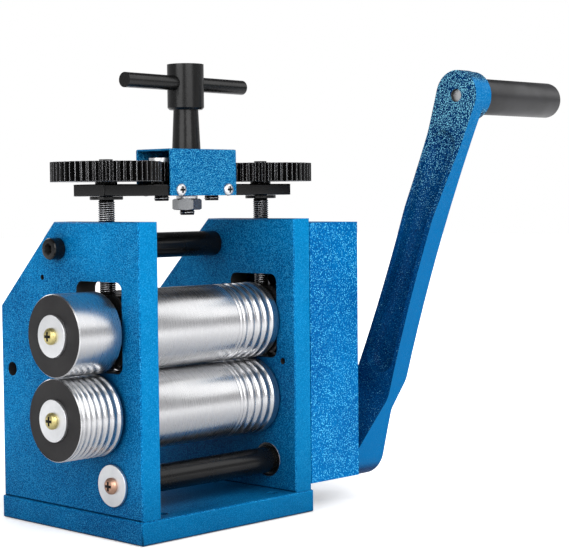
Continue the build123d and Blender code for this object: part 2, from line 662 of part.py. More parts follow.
def waisted(foot_at, foot_r, waist, tip_at, tip_r):
    """Outline of two round ends joined by hollow sides."""
    radius, across, along = hollow_side(foot_at, foot_r, waist, tip_at, tip_r)

    def touch(at, end_r):
        share = end_r / (radius + end_r)
        return share * across, at + share * (along - at)

    (fx, fy), (tx, ty) = touch(foot_at, foot_r), touch(tip_at, tip_r)
    edges = [ThreePointArc((fx, fy), (0, foot_at - foot_r), (-fx, fy)),
             ThreePointArc((-fx, fy), (-waist, along), (-tx, ty)),
             ThreePointArc((-tx, ty), (0, tip_at + tip_r), (tx, ty)),
             ThreePointArc((tx, ty), (waist, along), (fx, fy))]
    return make_face(Curve() + edges)


def arm_half_width(at):
    """Half width of the arm, this far along it."""
    radius, across, along = hollow_side(0, HUB_R, ARM_WAIST, CRANK_REACH, ARM_TIP_R)
    return across - sqrt(radius ** 2 - (at - along) ** 2)


def arm_side_view():
    """The crank seen from its edge: hub close to the case, arm stepped outwards, thin tip."""
    low, high = -HUB_R - ARM_SPARE, CRANK_REACH + ARM_TIP_R + ARM_SPARE
    face = make_face(Polyline(
        (0, low, HUB_X), (0, ARM_JOG_FROM, HUB_X), (0, ARM_JOG_TO, ARM_INNER_X),
        (0, ARM_THIN_FROM, ARM_INNER_X), (0, ARM_THIN_TO, ARM_TIP_X), (0, high, ARM_TIP_X),
        (0, high, ARM_OUTER_X), (0, ARM_JOG_OUT_TO, ARM_OUTER_X), (0, ARM_JOG_OUT_FROM, HUB_END),
        (0, low, HUB_END), close=True))
    bends = [(ARM_JOG_FROM, HUB_X, 8), (ARM_JOG_TO, ARM_INNER_X, 16), (ARM_THIN_FROM, ARM_INNER_X, 60),
             (ARM_THIN_TO, ARM_TIP_X, 60), (ARM_JOG_OUT_TO, ARM_OUTER_X, 14), (ARM_JOG_OUT_FROM, HUB_END, 9)]
    for along, x, radius in bends:
        corner = face.vertices().sort_by_distance((0, along, x))[0]
        face = fillet(corner, radius)
    return face


def crank_arm():
    """Cast crank: hub, stepped and waisted arm with a dished inner face, and grip boss."""
    outline = waisted(0, HUB_R, ARM_WAIST, CRANK_REACH, ARM_TIP_R)
    arm = extrude(Pos(0, 0, HUB_X - ARM_SPARE) * outline, ARM_OUTER_X - HUB_X + 2 * ARM_SPARE)
    arm = arm & Pos(-HUB_R - ARM_SPARE, 0, 0) * extrude(arm_side_view(), 2 * (HUB_R + ARM_SPARE), dir=(1, 0, 0))
    foot_r = arm_half_width(DISH_FROM) - DISH_RIM
    tip_r = arm_half_width(DISH_TO) - DISH_RIM
    dish = waisted(DISH_FROM + foot_r, foot_r, ARM_WAIST - DISH_RIM, DISH_TO - tip_r, tip_r)
    dish = extrude(Pos(0, 0, HUB_X) * dish, ARM_OUTER_X - DISH_FLOOR - HUB_X)
    arm -= fillet(dish.faces().sort_by(Axis.Z)[-1].edges(), DISH_ROUND)
    boss = disc(BOSS_R, ARM_OUTER_X - 2, ARM_OUTER_X + BOSS_HIGH)
    boss = chamfer(boss.faces().sort_by(Axis.Z)[-1].edges(), ARM_EDGE)
    arm += Pos(0, CRANK_REACH, 0) * boss
    arm -= Pos(0, CRANK_REACH, 0) * disc(SPINDLE_DIA / 2 + SEATED, ARM_INNER_X, ARM_OUTER_X + BOSS_HIGH + 1)
    arm -= disc(SHAFT_END_R + SEATED, HUB_X - 1, HUB_END + 1)
    keyway = key(SHAFT_END_R, HUB_X - 1, HUB_END + 1, SHAFT_KEY + 2 * KEY_CLEAR)
    return crank_plane(0).location * arm - along_x(keyway, SHAFT_Y, SHAFT_HEIGHT)


def grip_spindle():
    low, high = ARM_TIP_X + SPINDLE_SHY, GRIP_END - GRIP_RECESS_DEEP + 0.3
    bolt = disc(SPINDLE_DIA / 2, low, high) + disc(SPINDLE_HEAD_DIA / 2, high, high + SPINDLE_HEAD_HIGH)
    return along_x(bolt, GRIP_Y, GRIP_HEIGHT)


def grip():
    """Plastic sleeve that turns on its spindle, rounded at the free end."""
    radius = GRIP_DIA / 2
    body = turned((GRIP_X, radius), [
        (GRIP_END - GRIP_ROUND, radius), (GRIP_END - GRIP_ROUND * 0.3, radius - GRIP_ROUND * 0.15),
        (GRIP_END, radius - GRIP_ROUND / 2)])
    body -= disc(SPINDLE_DIA / 2 + RUNNING, GRIP_X - 1, GRIP_END + 1)
    body -= disc(GRIP_RECESS_DIA / 2, GRIP_END - GRIP_RECESS_DEEP, GRIP_END + 1)
    return along_x(body, GRIP_Y, GRIP_HEIGHT)


# --------------------------------------------------------------------- bearing blocks
def bearing_block(side):
    """Block that slides in a plate's window and carries the upper roller's bush."""
    inner, outer = sorted((side * PLATE_IN, side * PLATE_OUT))
    face = Rectangle(WINDOW_WIDE - 2 * SLIDE_CLEAR, BLOCK_TOP - BLOCK_BOTTOM)
    face = fillet(face.vertices(), BLOCK_CORNER)
    face = Plane(origin=(inner, ROLLER_Y, (BLOCK_TOP + BLOCK_BOTTOM) / 2),
                 x_dir=(0, 1, 0), z_dir=(1, 0, 0)) * face
    body = extrude(face, PLATE_THICK)
    body -= along_x(disc(BUSH_R + SEATED, inner - 1, outer + 1), ROLLER_Y, UPPER_ROLLER_HEIGHT)
    pocket = disc(SPRING_DIA / 2 + SPRING_ROOM, BLOCK_BOTTOM - 1, BLOCK_BOTTOM + SPRING_POCKET_BLOCK)
    return body - Pos(plate_middle(side), ROLLER_Y) * pocket


def lift_springs():
    """Small spring under each bearing block, kept as a plain bar of its own outline."""
    spring = disc(SPRING_DIA / 2, SPRING_FOOT, BLOCK_BOTTOM + SPRING_POCKET_BLOCK)
    return [Pos(plate_middle(side), ROLLER_Y) * spring for side in (-1, 1)]


# ----------------------------------------------------------------------- pressure gear
def pressure_screw(side):
    """Threaded screw that presses on a bearing block and carries a big gear on flats."""
    low, top = BLOCK_TOP + FACE_CLEAR, TRAIN_TOP + SCREW_STUB
    screw = disc(SCREW_R, low, top)
    flats = block((-SCREW_DIA, SCREW_DIA), (SCREW_FLATS / 2, SCREW_DIA), (TRAIN_Z - TRAIN_HUB_HIGH, top + 1))
    screw -= flats + Rot(0, 0, 180) * flats
    return Pos(side * SCREW_X, ROLLER_Y) * screw


def screw_gear(side):
    wheel = gear(SCREW_GEAR_TEETH, TRAIN_MODULE, TRAIN_WIDE)
    facing_in = 180 if side > 0 else 0
    wheel = Pos(0, 0, TRAIN_Z) * Rot(0, 0, facing_in + 180 / SCREW_GEAR_TEETH) * wheel
    wheel += disc(TRAIN_HUB_DIA / 2, TRAIN_Z - TRAIN_HUB_HIGH, TRAIN_Z + 1)
    bore = disc(SCREW_R + SEATED, TRAIN_Z - 5, TRAIN_TOP + 1)
    across = SCREW_FLATS / 2 + SEATED
    bore &= block((-SCREW_DIA, SCREW_DIA), (-across, across), (TRAIN_Z - 5, TRAIN_TOP + 1))
    return Pos(side * SCREW_X, ROLLER_Y) * (wheel - bore)


def screw_collar(side):
    """Ring under the bar that makes it rise with the pressure screw."""
    low = BAR_HEIGHT - FACE_CLEAR - COLLAR_THICK
    return Pos(side * SCREW_X, ROLLER_Y) * washer(COLLAR_DIA, SCREW_DIA + 2 * SEATED, low, COLLAR_THICK)


def cross_bar():
    bar = block((-BAR_HALF_LONG, BAR_HALF_LONG), (ROLLER_Y - BAR_DEEP / 2, ROLLER_Y + BAR_DEEP / 2),
                (BAR_HEIGHT, BAR_TOP))
    bar = chamfer(bar.edges(), BAR_EDGE)
    for x, radius in ((SCREW_X, SCREW_R + RUNNING), (TRAIN_A, SCREW_R + SEATED)):
        for side in (-1, 1):
            bar -= Pos(side * x, ROLLER_Y) * disc(radius, BAR_HEIGHT - 1, BAR_TOP + 1)
    bar -= Pos(0, ROLLER_Y) * disc(SPINDLE_SEAT_DIA / 2 + RUNNING, BAR_HEIGHT - 1, BAR_TOP + 1)
    return bar


def bracket():
    """Folded sheet over the middle of the gear train, open at both ends."""
    deep = BAR_DEEP + 2 * BRACKET_SHEET
    half = BRACKET_WIDE / 2
    outer = block((-half, half), (-deep / 2, deep / 2), (BAR_HEIGHT, BRACKET_TOP))
    outer = fillet(outer.edges().filter_by(Axis.X).group_by(Axis.Z)[-1], BRACKET_SHEET)
    inner = block((-half - 1, half + 1), (-BAR_DEEP / 2, BAR_DEEP / 2), (BAR_HEIGHT - 1, BRACKET_TOP - BRACKET_SHEET))
    sheet = Pos(0, ROLLER_Y) * (outer - inner)
    sheet -= Pos(0, ROLLER_Y) * disc(NECK_DIA / 2 + RUNNING, BRACKET_TOP - 5, BRACKET_TOP + 1)
    return sheet


def idler_gear(side):
    wheel = gear(IDLER_TEETH, TRAIN_MODULE, TRAIN_WIDE, steps=2)
    towards_handle = 180 if side > 0 else 0
    wheel = Pos(0, 0, TRAIN_Z) * Rot(0, 0, towards_handle + 180 / IDLER_TEETH) * wheel
    wheel += disc(TRAIN_HUB_DIA / 2, TRAIN_Z - TRAIN_HUB_HIGH, TRAIN_Z + 1)
    wheel -= disc(SCREW_R + RUNNING, TRAIN_Z - 5, TRAIN_TOP + 1)
    return Pos(side * TRAIN_A, ROLLER_Y) * wheel


def idler_bolt(side):
    """Headed pin fixed in the bar, the idler's axle."""
    top = TRAIN_TOP + FACE_CLEAR
    pin = disc(SCREW_R, BAR_HEIGHT - IDLER_BOLT_TAIL, top)
    head = disc(IDLER_HEAD_DIA / 2, top, top + IDLER_HEAD_HIGH)
    return Pos(side * TRAIN_A, ROLLER_Y) * (pin + head)


# -------------------------------------------------------------------------- top handle
def handle_spindle():
    """Head, stem, journal and threaded tail, turned from one bar."""
    shoulder = BRACKET_TOP + FACE_CLEAR
    tail = BAR_HEIGHT - NUT_WASHER_THICK - FACE_CLEAR - NUT_HIGH - SPINDLE_TAIL
    foot = BAR_HEIGHT - NUT_WASHER_THICK - FACE_CLEAR
    head_r = HEAD_DIA / 2
    spindle = turned((tail, SCREW_R), [
        (foot, SCREW_R), (foot, SPINDLE_SEAT_DIA / 2), (TRAIN_TOP, SPINDLE_SEAT_DIA / 2),
        (TRAIN_TOP, NECK_DIA / 2), (shoulder, NECK_DIA / 2), (shoulder, STEM_FOOT_DIA / 2),
        (HEAD_BOTTOM, STEM_TOP_DIA / 2), (HEAD_BOTTOM, head_r - HEAD_CHAMFER),
        (HEAD_BOTTOM + HEAD_CHAMFER, head_r), (HEAD_TOP, head_r)])
    cross = Pos(0, 0, CROSS_HEIGHT) * Rot(0, 90, 0) * disc(CROSS_DIA / 2 + SEATED, -HEAD_DIA, HEAD_DIA)
    spindle -= cross
    spindle = keyed(spindle, SPINDLE_SEAT_DIA / 2, TRAIN_Z + 1, TRAIN_TOP - 1, 3.0)
    return Pos(0, ROLLER_Y) * Rot(0, 0, HANDLE_TURN) * spindle


def handle_key():
    return Pos(0, ROLLER_Y) * Rot(0, 0, HANDLE_TURN) * key(SPINDLE_SEAT_DIA / 2, TRAIN_Z + 1, TRAIN_TOP - 1, 3.0)


def cross_handle():
    bar = disc(CROSS_DIA / 2, -CROSS_HALF_LONG, CROSS_HALF_LONG)
    return Pos(0, ROLLER_Y, CROSS_HEIGHT) * Rot(0, 0, HANDLE_TURN) * Rot(0, 90, 0) * bar


def handle_pinion():
    wheel = Pos(0, 0, TRAIN_Z) * gear(HANDLE_TEETH, TRAIN_MODULE, TRAIN_WIDE)
    wheel -= disc(SPINDLE_SEAT_DIA / 2 + SEATED, TRAIN_Z - 1, TRAIN_TOP + 1)
    slot = key(SPINDLE_SEAT_DIA / 2, TRAIN_Z - 1, TRAIN_TOP + 1, 3.0 + 2 * KEY_CLEAR)
    wheel -= Rot(0, 0, HANDLE_TURN) * slot
    return Pos(0, ROLLER_Y) * wheel


def handle_nut():
    top = BAR_HEIGHT - FACE_CLEAR - NUT_WASHER_THICK
    nut = hexagon(NUT_FLATS, top - NUT_HIGH, top) - disc(SCREW_R + SEATED, top - NUT_HIGH - 1, top + 1)
    return Pos(0, ROLLER_Y) * Rot(0, 0, 12) * nut


def handle_washer():
    top = BAR_HEIGHT - FACE_CLEAR
    ring = washer(NUT_WASHER_DIA, SPINDLE_SEAT_DIA + 2 * SEATED, top - NUT_WASHER_THICK, NUT_WASHER_THICK)
    return Pos(0, ROLLER_Y) * ring


# -------------------------------------------------------------------------- every piece
UPPER, LOWER = UPPER_ROLLER_HEIGHT, LOWER_ROLLER_HEIGHT
SHAFT_LEFT = -PLATE_OUT - SHAFT_LEFT_FLOAT

PIECES = {
    "base_plate": base_plate(),
    "left_side_plate": side_plate(-1),
    "right_side_plate": side_plate(1),
    "tie_rod": tie_rod(),
    "tie_rod_screws": tie_rod_screws(),
    "lower_bushes": roller_bushes(LOWER),
    "shaft_bushes": shaft_bushes(),
    "gear_case": gear_case(),
    "case_bush": case_bush(),
    "lift_springs": lift_springs(),
    "left_bearing_block": bearing_block(-1),
    "right_bearing_block": bearing_block(1),
    "upper_bushes": roller_bushes(UPPER),
    "upper_roller": roller(UPPER, upper_gear_end() + 3, upper_gear_end()),
    "upper_side_roller": side_roller(UPPER, False),
    "upper_sync_gear": sync_gear(UPPER, -1, True),
    "upper_roller_keys": roller_keys(UPPER, upper_gear_end()),
    "upper_circlip": roller_circlip(UPPER, upper_gear_end()),
    "upper_end_washer": end_washer(UPPER, ROLLER_Y, -SIDE_OUTER_X),
    "lower_roller": roller(LOWER, REDUCTION_END + 3, REDUCTION_END),
    "lower_side_roller": side_roller(LOWER, True),
    "lower_sync_gear": sync_gear(LOWER, 1, False),
    "reduction_gear": reduction_gear(),
    "lower_roller_keys": roller_keys(LOWER, REDUCTION_END),
    "lower_circlip": roller_circlip(LOWER, REDUCTION_END),
    "lower_end_washer": end_washer(LOWER, ROLLER_Y, -SIDE_OUTER_X),
    "drive_shaft": drive_shaft(),
    "drive_keys": drive_keys(),
    "drive_pinion": drive_pinion(),
    "drive_spacer": drive_spacer(),
    "shaft_end_washer": end_washer(SHAFT_HEIGHT, SHAFT_Y, SHAFT_LEFT),
    "crank_arm": crank_arm(),
    "crank_end_washer": crank_end_washer(),
    "grip_spindle": grip_spindle(),
    "grip": grip(),
    "cross_bar": cross_bar(),
    "bracket": bracket(),
    "idler_bolts": [idler_bolt(-1), idler_bolt(1)],
    "left_idler_gear": idler_gear(-1),
    "right_idler_gear": idler_gear(1),
    "left_pressure_screw": pressure_screw(-1),
    "right_pressure_screw": pressure_screw(1),
    "left_screw_gear": screw_gear(-1),
    "right_screw_gear": screw_gear(1),
    "left_screw_collar": screw_collar(-1),
    "right_screw_collar": screw_collar(1),
    "handle_spindle": handle_spindle(),
    "handle_pinion": handle_pinion(),
    "cross_handle": cross_handle(),
    "handle_nut": handle_nut(),
    "handle_washer": handle_washer(),
    "handle_key": handle_key(),
}

os.makedirs("parts", exist_ok=True)
for name, shape in PIECES.items():
    solids = shape if isinstance(shape, list) else [shape]
    export_step(Compound(children=[s for item in solids for s in item.solids()]), f"parts/{name}.step")
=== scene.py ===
"""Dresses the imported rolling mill: paint, polished and blackened steel, threads and screws.

Every size is in millimetres and in the row's frame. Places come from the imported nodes.
"""

import logging
import math
from collections.abc import Callable, Iterable, Sequence
from dataclasses import dataclass
from enum import Enum

import bmesh
import bpy
from mathutils import Matrix, Vector
from mathutils.geometry import convex_hull_2d

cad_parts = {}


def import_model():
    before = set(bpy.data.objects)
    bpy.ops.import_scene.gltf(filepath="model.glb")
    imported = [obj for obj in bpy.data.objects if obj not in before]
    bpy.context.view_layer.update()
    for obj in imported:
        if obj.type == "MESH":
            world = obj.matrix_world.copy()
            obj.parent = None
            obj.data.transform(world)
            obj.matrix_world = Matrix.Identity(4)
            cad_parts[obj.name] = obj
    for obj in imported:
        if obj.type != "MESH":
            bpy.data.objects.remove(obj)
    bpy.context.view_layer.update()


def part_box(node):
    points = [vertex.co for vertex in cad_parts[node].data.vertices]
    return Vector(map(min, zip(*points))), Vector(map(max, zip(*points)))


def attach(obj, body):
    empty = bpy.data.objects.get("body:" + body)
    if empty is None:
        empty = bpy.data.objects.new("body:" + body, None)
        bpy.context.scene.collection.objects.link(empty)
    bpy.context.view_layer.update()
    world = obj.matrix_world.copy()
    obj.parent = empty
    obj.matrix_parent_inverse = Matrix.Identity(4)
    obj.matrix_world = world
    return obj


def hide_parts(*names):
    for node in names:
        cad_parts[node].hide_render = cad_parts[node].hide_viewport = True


LOG = logging.getLogger("rolling_mill")
MM = 0.001
SHARP_DEG = 32  # folds past this are shaded as edges
BEVEL_FROM_DEG = 38  # folds past this are broken
WELD_M = 1e-5
PAINT_GLOSS = 0.04
CORNER_REACH_M = 0.09  # how near a wall has to be for the painted corner shade
CORNER_SHADE_BLUE = (0.0, 0.010, 0.045)  # colour of the painted shade in enclosed places
ARM_SIDE = (0.0, -0.942, -0.336)  # square to the crank arm, towards its front edge
DOME = 0.78  # share of a quarter turn that a screw's crown takes
CREST = 0.972  # share of a thread's radius where its rubbed crest and painted glint start
SHOULDER = ((0.0, 0.8), (0.3, 0.2), (0.9, 0.0))  # inward and down from a roller's corner

Colour = tuple[float, float, float]
Profile = list[tuple[float, float]]
Value = "Signal | float"
Piece = bpy.types.Object


# ------------------------------------------------------------------------ shader maths
class Signal:
    """A node's output socket. Python's operators on it add Math nodes."""

    def __init__(self, graph: "Graph", socket: bpy.types.NodeSocket) -> None:
        """Keep the socket and the graph that it belongs to."""
        self.graph = graph
        self.socket = socket

    def _math(self, operation: str, first: Value, second: Value) -> "Signal":
        """Add one Math node and give its output."""
        return self.graph.node("ShaderNodeMath", {"operation": operation}, {0: first, 1: second})

    def __add__(self, other: Value) -> "Signal":
        """Sum."""
        return self._math("ADD", self, other)

    def __sub__(self, other: Value) -> "Signal":
        """Difference."""
        return self._math("SUBTRACT", self, other)

    def __rsub__(self, other: float) -> "Signal":
        """Difference from a number."""
        return self._math("SUBTRACT", other, self)

    def __mul__(self, other: Value) -> "Signal":
        """Product."""
        return self._math("MULTIPLY", self, other)

    __radd__ = __add__
    __rmul__ = __mul__

    def over(self, low: float, high: float) -> "Signal":
        """Stretch the span from low to high to the span from 0 to 1, cut off at both ends.

        Args:
            low: The value that becomes 0.
            high: The value that becomes 1.

        Returns:
            The stretched value.
        """
        inputs = {0: self, 1: low, 2: high, 3: 0.0, 4: 1.0}
        return self.graph.node("ShaderNodeMapRange", {"clamp": True}, inputs)


class Graph:
    """One node tree under construction."""

    def __init__(self, tree: bpy.types.NodeTree) -> None:
        """Take over a tree and empty it."""
        self.tree = tree
        self.tree.nodes.clear()

    def node(
        self,
        kind: str,
        settings: dict[str, object] | None = None,
        inputs: dict[str | int, object] | None = None,
        output: str | int = 0,
    ) -> Signal:
        """Add any node.

        Args:
            kind: The node's type.
            settings: Its own properties, set first. The key "stops" fills a colour ramp.
            inputs: Values or signals for its sockets, by name or number.
            output: The name or number of the socket to return.

        Returns:
            The chosen output.
        """
        made = self.tree.nodes.new(kind)
        for key, value in (settings or {}).items():
            if key == "stops":
                self._fill_ramp(made.color_ramp, value)
            else:
                setattr(made, key, value)
        for key, value in (inputs or {}).items():
            if isinstance(value, Signal):
                self.tree.links.new(value.socket, made.inputs[key])
            else:
                made.inputs[key].default_value = value
        return Signal(self, made.outputs[output] if made.outputs else None)

    @staticmethod
    def _fill_ramp(ramp: bpy.types.ColorRamp, stops: Sequence[tuple[float, Colour]]) -> None:
        """Give a new colour ramp the position and colour of each stop."""
        while len(ramp.elements) < len(stops):
            ramp.elements.new(1.0)
        for element, (position, colour) in zip(ramp.elements, stops):
            element.position = position
            element.color = (*colour, 1.0)

    def mix(self, share: Signal | float, first: Signal | Colour, second: Signal | Colour) -> Signal:
        """Mix two colours. The share is how much of the second."""
        colours = [c if isinstance(c, Signal) else (*c, 1.0) for c in (first, second)]
        inputs = {0: share, 6: colours[0], 7: colours[1]}
        return self.node("ShaderNodeMix", {"data_type": "RGBA"}, inputs, 2)

    def place(self) -> Signal:
        """Give the position in the row's frame, in metres, which moves with the piece."""
        return self.node("ShaderNodeTexCoord", output="Object")

    def noise(self, size_mm: float, detail: float = 2.0, stretch: Colour = (1.0, 1.0, 1.0)) -> Signal:
        """Cloudy noise.

        Args:
            size_mm: Rough size of its lumps.
            detail: How many finer layers.
            stretch: How many times shorter than size_mm the lumps are along X, Y and Z.

        Returns:
            A value about 0.5.
        """
        spread = self.node("ShaderNodeMapping", {}, {"Vector": self.place(), "Scale": stretch})
        inputs = {"Vector": spread, "Scale": 1 / (size_mm * MM), "Detail": detail}
        return self.node("ShaderNodeTexNoise", {}, inputs)

    def bump(self, height: Signal, depth_mm: float, strength: float = 1.0) -> Signal:
        """Turn a height into a normal.

        Args:
            height: The relief, 0 to 1.
            depth_mm: Depth of the full relief.
            strength: Share of the effect.

        Returns:
            The normal.
        """
        inputs = {"Strength": strength, "Distance": depth_mm * MM, "Height": height}
        return self.node("ShaderNodeBump", {}, inputs)

    def along(self, vector: Signal, direction: Colour) -> Signal:
        """Give the dot product of a vector and a direction."""
        inputs = {0: vector, 1: direction}
        return self.node("ShaderNodeVectorMath", {"operation": "DOT_PRODUCT"}, inputs, "Value")

    def rays(self) -> tuple[Signal, Signal]:
        """Tell which rays reach the camera unreflected, and which are glossy reflections."""
        camera, through, glossy = (
            self.node("ShaderNodeLightPath", output=f"Is {kind} Ray")
            for kind in ("Camera", "Transmission", "Glossy")
        )
        return (camera + through).over(0.0, 1.0), glossy


def principled(name: str, inputs: Callable[[Graph], dict[str, object]]) -> bpy.types.Material:
    """Make a material from one Principled BSDF.

    Args:
        name: The material's name.
        inputs: Builds the values and signals of the shader's sockets on the graph.

    Returns:
        The material.
    """
    material = bpy.data.materials.new(name)
    material.use_nodes = True
    graph = Graph(material.node_tree)
    shader = graph.node("ShaderNodeBsdfPrincipled", {}, inputs(graph))
    graph.node("ShaderNodeOutputMaterial", {}, {"Surface": shader})
    return material


# ---------------------------------------------------------------------------- finishes
@dataclass(frozen=True)
class Recipe:
    """What every finish has: a name, and inputs for one Principled BSDF."""

    name: str

    def material(self) -> bpy.types.Material:
        """Build the material."""
        return principled(self.name, self._inputs)

    def _inputs(self, graph: Graph) -> dict[str, object]:
        """Give the values and signals of the shader's sockets.

        Args:
            graph: The material's graph.

        Returns:
            What each named socket gets.
        """
        raise NotImplementedError


@dataclass(frozen=True)
class Paint(Recipe):
    """Stoved hammer paint: small round lumps, with painted glints on their crowns.

    front and lit_front_share give faces looking along -Y a flat tone, past hub_side on the arm, as
    painted light on the lit front. Crowns packed closer towards the crank's tip are a painted
    highlight. corner_shade darkens enclosed places as painted shade, in the paint's own colour.
    """

    lump_mm: float
    relief_mm: float
    spark: float
    crown_at: float = 0.62
    deep: Colour = (0.0, 0.060, 0.190)
    body: Colour = (0.0, 0.265, 0.625)
    # bright: colour of the painted glints on the lumps' crowns
    bright: Colour = (0.10, 0.58, 0.90)
    # front: flat tone of faces that look along -Y, painted light on the lit front
    front: Colour = (0.0, 0.205, 0.470)
    lit_front_share: float = 0.0
    # painted highlight: packs the glints closer towards the crank's tip
    tip_highlight: float = 0.0
    hub_side: float = 0.0
    corner_shade: float = 0.0

    def _inputs(self, graph: Graph) -> dict[str, object]:
        """Lay lumps, painted glints on their crowns and slow drifts of tone."""
        cells = graph.node(
            "ShaderNodeTexVoronoi",
            {"feature": "SMOOTH_F1"},
            {"Vector": graph.place(), "Scale": 1 / (self.lump_mm * MM), "Smoothness": 0.5},
            "Distance",
        )
        fine = graph.noise(self.lump_mm * 0.6, 2.0)
        patches = graph.noise(self.lump_mm * 7, 2.0)
        drift = graph.noise(55.0, 1.0)
        height = (0.75 - cells).over(0.0, 0.75) * 0.65 + fine * 0.35
        thick = height + patches * 0.25
        # painted highlight: more glints higher up, towards the crank's tip
        if self.tip_highlight:
            along = graph.node("ShaderNodeSeparateXYZ", {}, {"Vector": graph.place()}, "Z")
            thick = thick + (along.over(0.17, 0.25) - 0.35) * self.tip_highlight
        # painted glints: the lumps' crowns take the bright colour
        crown = thick.over(self.crown_at, self.crown_at + 0.12) * self.spark
        tone = (height * 0.6 + drift * 0.4).over(0.25, 0.72)
        colour = graph.mix(tone, self.deep, self.body)
        colour = graph.mix(crown, colour, self.bright)
        # painted light: faces that look along -Y take the flat front tone
        if self.lit_front_share:
            normal = graph.node("ShaderNodeTexCoord", output="Normal")
            share = graph.along(normal, (0.0, -1.0, 0.0)).over(0.7, 0.88) * self.lit_front_share
            if self.hub_side:
                side = graph.along(graph.place(), ARM_SIDE)
                share = share * side.over(self.hub_side * MM, (self.hub_side + 1.0) * MM)
            colour = graph.mix(share, colour, self.front)
        # painted shade: the paint darkens where walls close in
        if self.corner_shade:
            reach = {"Distance": CORNER_REACH_M}
            open_air = graph.node("ShaderNodeAmbientOcclusion", {"samples": 4}, reach, "AO")
            enclosed = (1.0 - open_air).over(0.08, 0.85)
            colour = graph.mix(enclosed * self.corner_shade, colour, CORNER_SHADE_BLUE)
        return {
            "Base Color": colour,
            "Roughness": 0.42 - crown * 0.10,
            "Specular IOR Level": PAINT_GLOSS,
            "Normal": graph.bump(height, self.relief_mm),
        }


@dataclass(frozen=True)
class GroundSteel(Recipe):
    """Hardened steel ground in a lathe: bright, with fine rings round its axis, along X."""

    tone: float
    roughness: float
    rings: float = 0.05

    def _inputs(self, graph: Graph) -> dict[str, object]:
        """Lay grinding rings and a faint haze."""
        rings = graph.noise(6.0, 1.0, (20.0, 0.05, 0.05))
        haze = graph.noise(14.0, 2.0)
        tone = self.tone
        light, dark = (tone, tone, tone * 1.01), (tone * 0.82, tone * 0.83, tone * 0.85)
        colour = graph.mix(rings * 0.4 + haze * 0.2, light, dark)
        return {
            "Base Color": colour,
            "Metallic": 1.0,
            "Roughness": (rings - 0.5) * 0.10 + (haze - 0.5) * 0.05 + self.roughness,
            "Normal": graph.bump(rings, self.rings, 0.04),
        }


@dataclass(frozen=True)
class PlainMetal(Recipe):
    """Plated, blackened or cast metal with a cloudy tone and a fine tooth."""

    colour: Colour
    shade: Colour
    roughness: float
    metallic: float = 1.0
    grain_mm: float = 1.2
    relief_mm: float = 0.02
    gloss: float = 0.5

    def _inputs(self, graph: Graph) -> dict[str, object]:
        """Lay clouds of tone over a fine grain."""
        grain = graph.noise(self.grain_mm, 4.0)
        cloud = graph.noise(self.grain_mm * 12, 2.0)
        return {
            "Base Color": graph.mix(cloud.over(0.3, 0.7) * 0.7 + grain * 0.3, self.colour, self.shade),
            "Metallic": self.metallic,
            "Roughness": (cloud - 0.5) * 0.14 + (grain - 0.5) * 0.10 + self.roughness,
            "Specular IOR Level": self.gloss,
            "Normal": graph.bump(grain, self.relief_mm, 0.5),
        }


@dataclass(frozen=True)
class MouldedPlastic(Recipe):
    """Black moulded plastic with a very fine spark-eroded texture."""

    name: str = "moulded_plastic"

    def _inputs(self, graph: Graph) -> dict[str, object]:
        """Lay the mould's texture and handling marks."""
        texture = graph.noise(0.5, 2.0)
        rubbed = graph.noise(18.0, 3.0)
        return {
            "Base Color": graph.mix(rubbed.over(0.35, 0.7), (0.011, 0.011, 0.012), (0.024, 0.024, 0.026)),
            "Roughness": 0.46 - rubbed * 0.16,
            "Normal": graph.bump(texture, 0.04, 0.6),
        }


